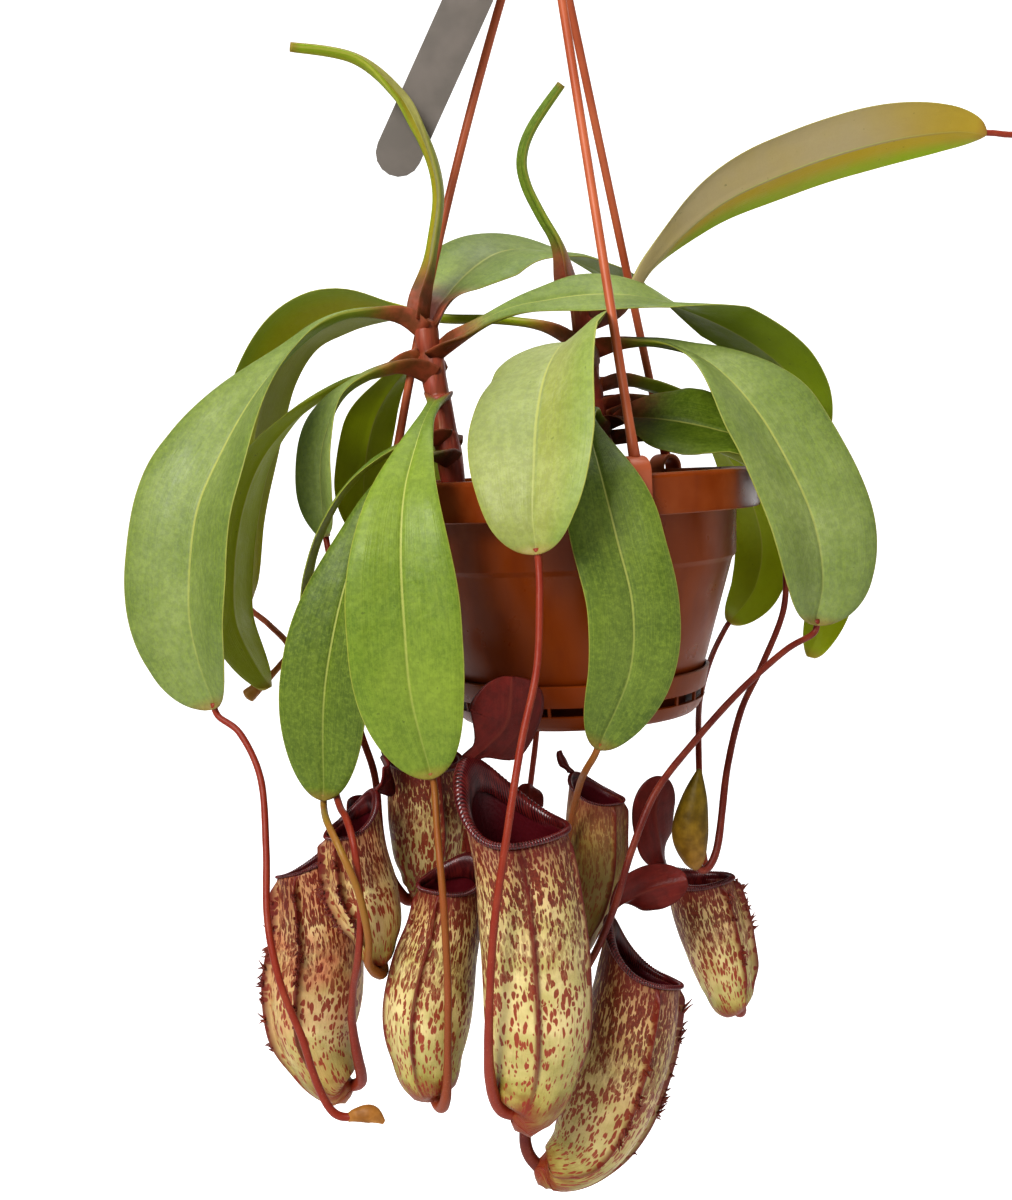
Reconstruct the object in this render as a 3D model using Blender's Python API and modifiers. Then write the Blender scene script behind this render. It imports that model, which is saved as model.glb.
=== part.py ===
"""A tropical pitcher plant in its hanging pot: pot, drip tray, soil, wire hanger, label and the whole plant.

Sizes below are in millimetres. The plant is described from the centre of the pot's rim: X to the
right, Y away from the viewer, Z up. Everything is then lowered by HANG_DROP, so that the model's
origin is the seat of the hook, on the pot's axis, where it hangs.
"""
import math

import bmesh
import bpy
import numpy as np
from mathutils import Vector

MM = 0.001
CLEAR = 0.3

# Hanger: the rim lies HANG_DROP below the hook's seat
HANG_DROP = 262.0
HOOK_INNER = 12.0
HOOK_WIRE = 2.0
HUB_RADIUS = 7.0
HUB_LOW, HUB_HIGH = 203.0, 214.0
HUB_BEVEL = 2.0
HUB_STEPS = 20
ROD_RADIUS = 1.6
ROD_APEX = 217.0
ROD_SINK = 5.0
ROD_POINTS = 7
ROD_ANGLES = {"rod_front": -73, "rod_right": 50, "rod_left": 172}
ROD_BOW = {"rod_front": 0.0, "rod_right": 0.0, "rod_left": 4.5}
CLIP_RISE = 6.0
CLIP_WIDTH = 7.0
CLIP_THICK = 1.8
CLIP_RADIUS = 66.0
CLIP_LEG = 6.0
CLIP_TOOTH = 1.5

# Label
LABEL_WIDTH = 16.6
LABEL_THICK = 0.8
LABEL_TOP = (-5.0, 215.0)
LABEL_END = (-60.0, 111.0)
LABEL_EYE_WIDTH = 9.0

# Pot
RIM_RADIUS = 70.0
RIM_SKIRT = 14.0
WALL = 1.6
WALL_TOP_RADIUS = 62.0
BAND_RADIUS = 61.0
BAND_DEPTH = 31.5
BODY_RADIUS = 59.3
POT_FLOOR = 80.0
POT_FLOOR_RADIUS = 45.3
FOOT_RADIUS = 39.0
POT_STEPS = 36
BAND_STEP = 1.5

# Drip tray
TRAY_TOP = 72.0
TRAY_TOP_RADIUS = 49.7
TRAY_WAIST = 80.0
TRAY_WAIST_RADIUS = 48.0
TRAY_SLOT = 3.0
TRAY_BOTTOM = 89.0
TRAY_BOTTOM_RADIUS = 42.0
TRAY_SLOTS = 24
TRAY_SKIN = 1.2
TRAY_STEPS = 48

# Soil
SOIL_DEPTH = 10.0
SOIL_BUMP = 1.2
SOIL_SIDES = 28
STEM_SINK = 12.0

# Plant
STEM_SIDES = 3
STEM_POINTS = 12
STEM_SAMPLES = 60
ROOT_GAP = CLEAR + 0.6
CROWN_GAP = CLEAR + 0.4
BLADE_THICK = 1.0
PETIOLE_HALF = 2.7
TIP_HALF = 1.5
LEAF_ROWS = 10
LEAF_COLUMNS = 4
ROW_CROWDING = 1.35
TENDRIL_RADIUS = 1.3
TENDRIL_SHARES = (0, 0.018, *np.linspace(0.07, 0.93, 13), 0.982, 1)
TENDRIL_LEAD = 3.0
TIP_GAP = 3 * CLEAR
BASE_GAP = 2.7 * CLEAR
PITCHER_WALL = 1.3
OUTER_RINGS = (0, 0.035, 0.09, 0.18, 0.3, 0.46, 0.64, 0.82, 1)
INNER_RINGS = (0.84, 0.55, 0.3)
RIDGE_ANGLES = (-24, 24)
RIDGE_FOOT = 12
BACK_ANGLES = 9
MOUTH_POWER = 2.2
LIP = ((2.2, 1.2), (0.8, 3.0), (-1.4, 1.0))
LID_THICK = 1.2
LID_ROWS = 6
LID_COLUMNS = 2


def place(point):
    """A point in millimetres from the rim's centre, as a Vector in metres in the model's frame."""
    return Vector((point[0] * MM, point[1] * MM, (point[2] - HANG_DROP) * MM))


def clear_scene():
    for item in list(bpy.data.objects):
        bpy.data.objects.remove(item)


def new_collection(name):
    collection = bpy.data.collections.new(name)
    bpy.context.scene.collection.children.link(collection)
    return collection


def new_material(name, colour, roughness):
    material = bpy.data.materials.new(name)
    material.use_nodes = True
    shader = material.node_tree.nodes["Principled BSDF"]
    shader.inputs["Base Color"].default_value = (*colour, 1)
    shader.inputs["Roughness"].default_value = roughness
    shader.inputs["Metallic"].default_value = 0.0
    return material


clear_scene()
PARTS = new_collection("potted_pitcher_plant")
CUTTERS = new_collection("cutters")
TERRACOTTA = new_material("terracotta_plastic", (0.42, 0.12, 0.05), 0.35)
PEAT = new_material("peat", (0.02, 0.013, 0.01), 0.95)
CARD = new_material("label_plastic", (0.32, 0.27, 0.25), 0.5)
STEM_SKIN = new_material("stem", (0.30, 0.08, 0.05), 0.5)
LEAF_SKIN = new_material("leaf", (0.11, 0.19, 0.05), 0.4)
YOUNG_SKIN = new_material("young_leaf", (0.24, 0.26, 0.04), 0.4)
TENDRIL_SKIN = new_material("tendril", (0.33, 0.07, 0.04), 0.5)
PITCHER_SKIN = new_material("pitcher", (0.42, 0.36, 0.12), 0.4)
BUD_SKIN = new_material("bud", (0.36, 0.25, 0.05), 0.5)


# Shared geometry

def unit(vector):
    vector = np.asarray(vector, float)
    return vector / np.linalg.norm(vector)


def smooth(value):
    """Smoothstep from 0 at 0 to 1 at 1."""
    value = min(1.0, max(0.0, value))
    return value * value * (3 - 2 * value)


def curve_point(points, position):
    """Catmull-Rom curve through the points, at a position counted in points."""
    last = len(points) - 1
    index = min(int(position), last - 1)
    t = position - index
    a, b, c, d = (np.asarray(points[min(max(k, 0), last)], float) for k in range(index - 1, index + 3))
    square, cube = t ** 2, t ** 3
    return 0.5 * (2 * b + (c - a) * t + (2 * a - 5 * b + 4 * c - d) * square + (3 * b - a - 3 * c + d) * cube)


def route_through(points, shares):
    """Points at shares of the length of a smooth curve through the given ones, with tangents.

    A fourth value of each point, such as a radius, is blended along with it.
    """
    fine = np.array([curve_point(points, p) for p in np.linspace(0, len(points) - 1, 40 * len(points))])
    steps = np.linalg.norm(np.diff(fine[:, :3], axis=0), axis=1)
    length = np.concatenate([[0], np.cumsum(steps)])
    wanted = np.asarray(shares) * length[-1]
    found = np.stack([np.interp(wanted, length, column) for column in fine.T], axis=1)
    slopes = np.gradient(fine[:, :3], axis=0)
    ways = np.stack([np.interp(wanted, length, column) for column in slopes.T], axis=1)
    return found, [unit(way) for way in ways]


def between(values, t):
    """Values given at even steps from 0 to 1, blended at t."""
    values = np.asarray(values, float)
    if values.ndim == 1:
        return float(np.interp(t * (len(values) - 1), range(len(values)), values))
    return np.array([np.interp(t * (len(values) - 1), range(len(values)), column) for column in values.T])


# Shared makers

def add_object(name, data, material, collection=PARTS):
    item = bpy.data.objects.new(name, data)
    collection.objects.link(item)
    data.materials.clear()
    data.materials.append(material)
    return item


def loft(name, rings, material, collection=PARTS, closed=True):
    """A skin over rings of points; closed rings get a cap at both ends."""
    mesh = bmesh.new()
    rows = [[mesh.verts.new(place(point)) for point in ring] for ring in rings]
    count = len(rows[0])
    spans = range(count) if closed else range(count - 1)
    for low, high in zip(rows, rows[1:]):
        for k in spans:
            mesh.faces.new((low[k], low[(k + 1) % count], high[(k + 1) % count], high[k]))
    if closed:
        mesh.faces.new(list(reversed(rows[0])))
        mesh.faces.new(rows[-1])
    bmesh.ops.triangulate(mesh, faces=mesh.faces, quad_method="FIXED")
    data = bpy.data.meshes.new(name)
    mesh.to_mesh(data)
    mesh.free()
    data.shade_smooth()
    return add_object(name, data, material, collection)


def thicken(item, thick):
    solidify = item.modifiers.new("thickness", "SOLIDIFY")
    solidify.thickness = thick * MM
    solidify.offset = 0
    return item


def tube(name, points, radii, material, collection=PARTS, sides_step=1):
    """A round tube along a POLY spline; its radius follows the given radii."""
    curve = bpy.data.curves.new(name, "CURVE")
    curve.dimensions = "3D"
    curve.bevel_depth = MM
    curve.bevel_resolution = sides_step
    curve.use_fill_caps = True
    spline = curve.splines.new("POLY")
    spline.points.add(len(points) - 1)
    for k, point in enumerate(points):
        spline.points[k].co = (*place(point), 1)
        spline.points[k].radius = between(radii, k / (len(points) - 1))
    return add_object(name, curve, material, collection)


def as_mesh(item):
    """The object as a closed mesh object, caps welded, in the same place."""
    bpy.context.view_layer.update()
    data = bpy.data.meshes.new_from_object(item.evaluated_get(bpy.context.evaluated_depsgraph_get()))
    mesh = bmesh.new()
    mesh.from_mesh(data)
    bmesh.ops.remove_doubles(mesh, verts=mesh.verts, dist=1e-6)
    bmesh.ops.recalc_face_normals(mesh, faces=mesh.faces)
    mesh.to_mesh(data)
    mesh.free()
    name, material = item.name, item.data.materials[0]
    collection = item.users_collection[0]
    world = item.matrix_world.copy()
    bpy.data.objects.remove(item)
    solid = add_object(name, data, material, collection)
    solid.matrix_world = world
    return solid


def combine(item, other, operation):
    """A Boolean of one mesh object with another, which is kept as a hidden cutter."""
    cut = item.modifiers.new(operation.lower(), "BOOLEAN")
    cut.operation = operation
    cut.object = other
    other.hide_render = True
    other.display_type = "WIRE"
    if other.name in PARTS.objects:
        PARTS.objects.unlink(other)
        CUTTERS.objects.link(other)


def turned(name, profile, steps, material):
    """A solid turned about the pot's axis from a closed profile of (radius, height) points."""
    mesh = bmesh.new()
    verts = [mesh.verts.new(place((radius, 0, height))) for radius, height in profile]
    for k, vert in enumerate(verts):
        mesh.edges.new((vert, verts[(k + 1) % len(verts)]))
    data = bpy.data.meshes.new(name)
    mesh.to_mesh(data)
    mesh.free()
    item = add_object(name, data, material)
    screw = item.modifiers.new("turn", "SCREW")
    screw.steps = steps
    screw.render_steps = steps
    screw.use_merge_vertices = True
    screw.merge_threshold = 1e-6
    screw.use_smooth_shade = True
    return item


def flat_plate(name, outline, thick, material):
    """A flat plate in the XY plane from an outline in millimetres, centred on its thickness."""
    curve = bpy.data.curves.new(name, "CURVE")
    curve.dimensions = "2D"
    curve.fill_mode = "BOTH"
    curve.extrude = thick * MM / 2
    spline = curve.splines.new("POLY")
    spline.points.add(len(outline) - 1)
    for k, (x, y) in enumerate(outline):
        spline.points[k].co = (x * MM, y * MM, 0, 1)
    spline.use_cyclic_u = True
    return add_object(name, curve, material)


def arc(centre, radius, start, end, count):
    """Points of an arc, angles in degrees."""
    angles = np.radians(np.linspace(start, end, count))
    return [(centre[0] + radius * math.cos(a), centre[1] + radius * math.sin(a)) for a in angles]


# Pot

def make_pot():
    """Thin wall with a stepped band, a turned-down rim, a floor and a foot ring."""
    inner_rim = WALL_TOP_RADIUS - WALL
    floor_top = POT_FLOOR - WALL
    profile = [
        (inner_rim, 0), (RIM_RADIUS - 2, 0), (RIM_RADIUS - 0.6, -0.6), (RIM_RADIUS, -2),
        (RIM_RADIUS, -RIM_SKIRT), (RIM_RADIUS - WALL, -RIM_SKIRT), (RIM_RADIUS - WALL, -WALL - 1),
        (WALL_TOP_RADIUS, -WALL - 1), (BAND_RADIUS, -BAND_DEPTH), (BODY_RADIUS, -BAND_DEPTH - BAND_STEP),
        (POT_FLOOR_RADIUS, -POT_FLOOR), (FOOT_RADIUS + WALL, -POT_FLOOR),
        (FOOT_RADIUS + WALL - 0.3, -TRAY_BOTTOM + WALL + CLEAR), (FOOT_RADIUS, -TRAY_BOTTOM + WALL + CLEAR),
        (FOOT_RADIUS, -POT_FLOOR), (0, -POT_FLOOR), (0, -floor_top), (POT_FLOOR_RADIUS - WALL, -floor_top),
        (BODY_RADIUS - WALL, -BAND_DEPTH - BAND_STEP), (BAND_RADIUS - WALL, -BAND_DEPTH + 2),
    ]
    return turned("pot", profile, POT_STEPS, TERRACOTTA)


def make_tray():
    """A skirt around the pot's foot and a dish below it, joined by posts between overflow slots."""
    low = TRAY_WAIST + TRAY_SLOT
    profile = [
        (TRAY_TOP_RADIUS, -TRAY_TOP), (TRAY_WAIST_RADIUS, -TRAY_WAIST), (TRAY_WAIST_RADIUS - 0.4, -low),
        (TRAY_BOTTOM_RADIUS + 3, -TRAY_BOTTOM + 1.5), (TRAY_BOTTOM_RADIUS, -TRAY_BOTTOM), (0, -TRAY_BOTTOM),
        (0, -TRAY_BOTTOM + WALL), (TRAY_BOTTOM_RADIUS - 0.5, -TRAY_BOTTOM + WALL),
        (TRAY_WAIST_RADIUS - 0.4 - TRAY_SKIN, -low), (TRAY_WAIST_RADIUS - TRAY_SKIN, -TRAY_WAIST),
        (TRAY_TOP_RADIUS - TRAY_SKIN, -TRAY_TOP),
    ]
    tray = turned("drip_tray", profile, TRAY_STEPS, TERRACOTTA)
    slots = bmesh.new()
    step = 360 / TRAY_SLOTS
    for k in range(TRAY_SLOTS):
        middle = math.radians((k + 0.5) * step)
        half = math.radians(step / 2) - 0.5 / TRAY_WAIST_RADIUS
        corners = []
        for radius in (TRAY_WAIST_RADIUS - 4, TRAY_WAIST_RADIUS + 3):
            for angle in (middle - half, middle + half):
                corners.append((radius * math.cos(angle), radius * math.sin(angle)))
        (a, b, c, d) = (corners[0], corners[2], corners[3], corners[1])
        lower = [slots.verts.new(place((*xy, -low + 0.1))) for xy in (a, b, c, d)]
        upper = [slots.verts.new(place((*xy, -TRAY_WAIST - 0.1))) for xy in (a, b, c, d)]
        slots.faces.new(list(reversed(lower)))
        slots.faces.new(upper)
        for i in range(4):
            j = (i + 1) % 4
            slots.faces.new((lower[i], lower[j], upper[j], upper[i]))
    data = bpy.data.meshes.new("slot_cutter")
    slots.to_mesh(data)
    slots.free()
    combine(tray, add_object("slot_cutter", data, TERRACOTTA, CUTTERS), "DIFFERENCE")
    return tray


# Hanger

def polar(radius, degrees, height):
    angle = math.radians(degrees)
    return (radius * math.cos(angle), radius * math.sin(angle), height)


def rod_line(name, height):
    """The centre of a rod at a height: the three rods lead to one point above the hub."""
    share = (ROD_APEX - height) / (ROD_APEX - CLIP_RISE + CLIP_THICK / 2)
    bow = 4 * share * (1 - share) * ROD_BOW[name]
    return polar(CLIP_RADIUS * share + bow, ROD_ANGLES[name], height)


def make_clip(name, degrees):
    """A strap bent over the rim: a short inner leg, an arch and an outer leg with a tooth."""
    inner = WALL_TOP_RADIUS - WALL - 2.5 * CLEAR - CLIP_THICK
    outer = RIM_RADIUS + CLEAR
    middle = (inner + CLIP_THICK + outer) / 2
    reach = (outer - inner - CLIP_THICK) / 2
    lift = CLEAR + 0.2
    foot = -RIM_SKIRT - CLEAR
    outside = [(outer + CLIP_THICK, foot - CLIP_TOOTH), (outer + CLIP_THICK, lift)]
    outside += [(middle + (reach + CLIP_THICK) * math.cos(a), lift + (CLIP_RISE - lift) * math.sin(a))
                for a in np.radians((30, 60, 90, 120, 150, 180))]
    outside += [(inner, -CLIP_LEG)]
    inside = [(inner + CLIP_THICK, -CLIP_LEG), (inner + CLIP_THICK, lift)]
    inside += [(middle + reach * math.cos(a), lift + (CLIP_RISE - lift - CLIP_THICK) * math.sin(a))
               for a in np.radians((150, 120, 90, 60, 30, 0))]
    inside += [(outer, foot), (outer - CLIP_TOOTH, foot), (outer - CLIP_TOOTH, foot - CLIP_TOOTH)]
    clip = flat_plate(name, outside + inside, CLIP_WIDTH, TERRACOTTA)
    clip.rotation_euler = (math.pi / 2, 0, math.radians(degrees))
    clip.location = place((0, 0, 0))
    return as_mesh(clip)


def make_rod(name, degrees):
    """A slim rod from its clip up into a blind hole of the hub."""
    heights = np.linspace(CLIP_RISE - CLIP_THICK / 2, HUB_LOW + ROD_SINK, ROD_POINTS)
    line = [rod_line(name, height) for height in heights]
    rod = as_mesh(tube(name, line, [ROD_RADIUS, ROD_RADIUS], TERRACOTTA, sides_step=2))
    combine(rod, make_clip(name + "_clip", degrees), "UNION")
    return rod


def make_hook():
    """A hub with three blind holes, a shank and an open crook whose inner top is the seat."""
    crook = HOOK_INNER + HOOK_WIRE
    centre = HANG_DROP - HOOK_INNER
    line = [(0, 0, HUB_HIGH - 4), (0, 0, HUB_HIGH + 8)]
    line += [(x, 0, z) for x, z in arc((0, centre), crook, -90, 190, 15)]
    hook = as_mesh(tube("hanger_hook", line, [HOOK_WIRE, HOOK_WIRE], TERRACOTTA, sides_step=3))
    profile = [(HUB_RADIUS - HUB_BEVEL, HUB_HIGH), (HUB_RADIUS, HUB_HIGH - HUB_BEVEL), (HUB_RADIUS, HUB_LOW),
               (0, HUB_LOW), (0, HUB_HIGH)]
    hub = turned("hub", profile, HUB_STEPS, TERRACOTTA)
    combine(hook, hub, "UNION")
    for name in ROD_ANGLES:
        ends = [rod_line(name, HUB_LOW - 6), rod_line(name, HUB_LOW + ROD_SINK + CLEAR)]
        wide = ROD_RADIUS + 1.5 * CLEAR
        hole = as_mesh(tube(name + "_hole", ends, [wide, wide], TERRACOTTA, CUTTERS, sides_step=3))
        combine(hook, hole, "DIFFERENCE")
    return hook


def make_label():
    """A long bare label leaning beside the rods, with a folded eye that sits on the hub."""
    top, end = np.array(LABEL_TOP), np.array(LABEL_END)
    along = unit((*(end - top), 0))[:2]
    across = np.array((-along[1], along[0]))
    half = LABEL_WIDTH / 2
    spread = half / abs(across[0])
    tip = end - along * half
    turn = math.degrees(math.atan2(across[1], across[0]))
    outline = [(top[0] + spread, top[1]), (top[0] - spread, top[1])]
    outline += arc(tip, half, turn + 180, turn + 360, 9)
    front = -HUB_RADIUS - CLEAR - LABEL_THICK / 2
    label = flat_plate("label", outline, LABEL_THICK, CARD)
    label.rotation_euler = (math.pi / 2, 0, 0)
    label.location = place((0, front, 0))
    label = as_mesh(label)
    low = HUB_HIGH + CLEAR
    eye_outline = [(-LABEL_EYE_WIDTH / 2, front)] + arc((0, 0), LABEL_EYE_WIDTH / 2, 180, 0, 9)
    eye_outline += [(LABEL_EYE_WIDTH / 2, front)]
    eye = flat_plate("label_eye", eye_outline, LABEL_THICK, CARD)
    eye.location = place((0, 0, low + LABEL_THICK / 2))
    combine(label, as_mesh(eye), "UNION")
    wide = HOOK_WIRE + CLEAR
    ends = [(0, 0, low - 3), (0, 0, low + 4)]
    combine(label, as_mesh(tube("label_hole", ends, [wide, wide], CARD, CUTTERS, sides_step=3)), "DIFFERENCE")
    return label


# Stems and soil

STEMS = {
    "stem_left": dict(
        points=[(-42, -9, -SOIL_DEPTH - STEM_SINK), (-43, -8, 5), (-46, -5, 28), (-49, -3, 48),
                (-50, -2, 60)],
        radii=(5.0, 4.8, 4.4, 3.8)),
    "stem_right": dict(
        points=[(14, 9, -SOIL_DEPTH - STEM_SINK), (13, 10, 8), (10, 12, 34), (8, 12, 58), (7, 12, 68)],
        radii=(5.0, 4.8, 4.4, 3.8)),
}


def make_stem(name, points, radii):
    line, _ = route_through(points, np.linspace(0, 1, STEM_POINTS))
    return tube(name, line, radii, STEM_SKIN, sides_step=STEM_SIDES)


def make_soil():
    """Peat that fills the pot to below the rim, lightly heaped, with a plain hole for each stem."""
    inside = CLEAR + WALL
    top_radius = BAND_RADIUS - inside + 0.2
    rings = []
    profile = [(POT_FLOOR_RADIUS - inside - 0.6, -POT_FLOOR + WALL + CLEAR),
               (BODY_RADIUS - inside - 0.4, -BAND_DEPTH - BAND_STEP - 0.4), (top_radius, -SOIL_DEPTH - 1)]
    profile += [(top_radius * share, -SOIL_DEPTH) for share in (0.85, 0.6, 0.3)]
    for index, (radius, height) in enumerate(profile):
        ring = []
        for k in range(SOIL_SIDES):
            x, y, _ = polar(radius, 360 * k / SOIL_SIDES, 0)
            heap = SOIL_BUMP * math.sin(0.17 * x + 1) * math.cos(0.21 * y) if index > 2 else 0
            ring.append((x, y, height + heap))
        rings.append(ring)
    soil = loft("soil", rings, PEAT)
    for name, stem in STEMS.items():
        foot, above = (np.array(p, float) for p in stem["points"][:2])
        along = unit(above - foot)
        wide = stem["radii"][0] + 2 * CLEAR
        ends = [foot - along * CLEAR * 2, above]
        hole = as_mesh(tube(name + "_hole", ends, [wide, wide], PEAT, CUTTERS, sides_step=4))
        combine(soil, hole, "DIFFERENCE")
    return soil


def stem_at(name, height):
    """Centre and radius of a stem at a height."""
    line, _ = route_through(STEMS[name]["points"], np.linspace(0, 1, STEM_SAMPLES))
    index = int(np.argmin(abs(line[:, 2] - height)))
    return line[index], between(STEMS[name]["radii"], index / (STEM_SAMPLES - 1))


def rooted(leaf):
    """The leaf's route with its first point moved onto the stem's side, or onto its top for the crown."""
    points = [np.array(p, float) for p in leaf["spine"]]
    centre, radius = stem_at(leaf["stem"], points[0][2])
    if leaf.get("crown"):
        centre = np.array(STEMS[leaf["stem"]]["points"][-1], float)
        return [centre + unit(points[1] - centre) * CROWN_GAP] + points[1:]
    way = points[1] - centre
    way[2] *= 0.3
    return [centre + unit(way) * (radius + leaf.get("root_gap", ROOT_GAP))] + points[1:]


# Leaves

def half_width(t, leaf):
    """Half the blade's width along its length: petiole, widening, full blade, rounded tip."""
    rise = smooth((t - leaf.get("petiole", 0.1)) / leaf.get("widen", 0.4))
    width = PETIOLE_HALF + (leaf["half"] - PETIOLE_HALF) * rise
    tip = leaf.get("tip", 0.24)
    into_tip = max(0.0, (t - 1 + tip) / tip)
    end = TIP_HALF / leaf["half"]
    return width * math.sqrt(1 - (1 - end * end) * into_tip ** 2)


def blade_grid(leaf, spine, rows, columns):
    """Rows of points across the blade, folded up from the midrib and closer together at the tip."""
    shares = 1 - (1 - np.linspace(0, 1, rows + 1)) ** ROW_CROWDING
    line, tangents = route_through(spine, shares)
    fold = math.radians(leaf.get("fold", 12))
    grid = []
    for t, centre, tangent in zip(shares, line, tangents):
        facing = between(leaf["facing"], t)
        upper = unit(facing - tangent * np.dot(facing, tangent))
        side = np.cross(tangent, upper)
        width = half_width(t, leaf)
        flat, up = side * math.cos(fold), upper * math.sin(fold)
        grid.append([centre + flat * out + up * abs(out) for out in np.linspace(-1, 1, columns + 1) * width])
    return grid


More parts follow.
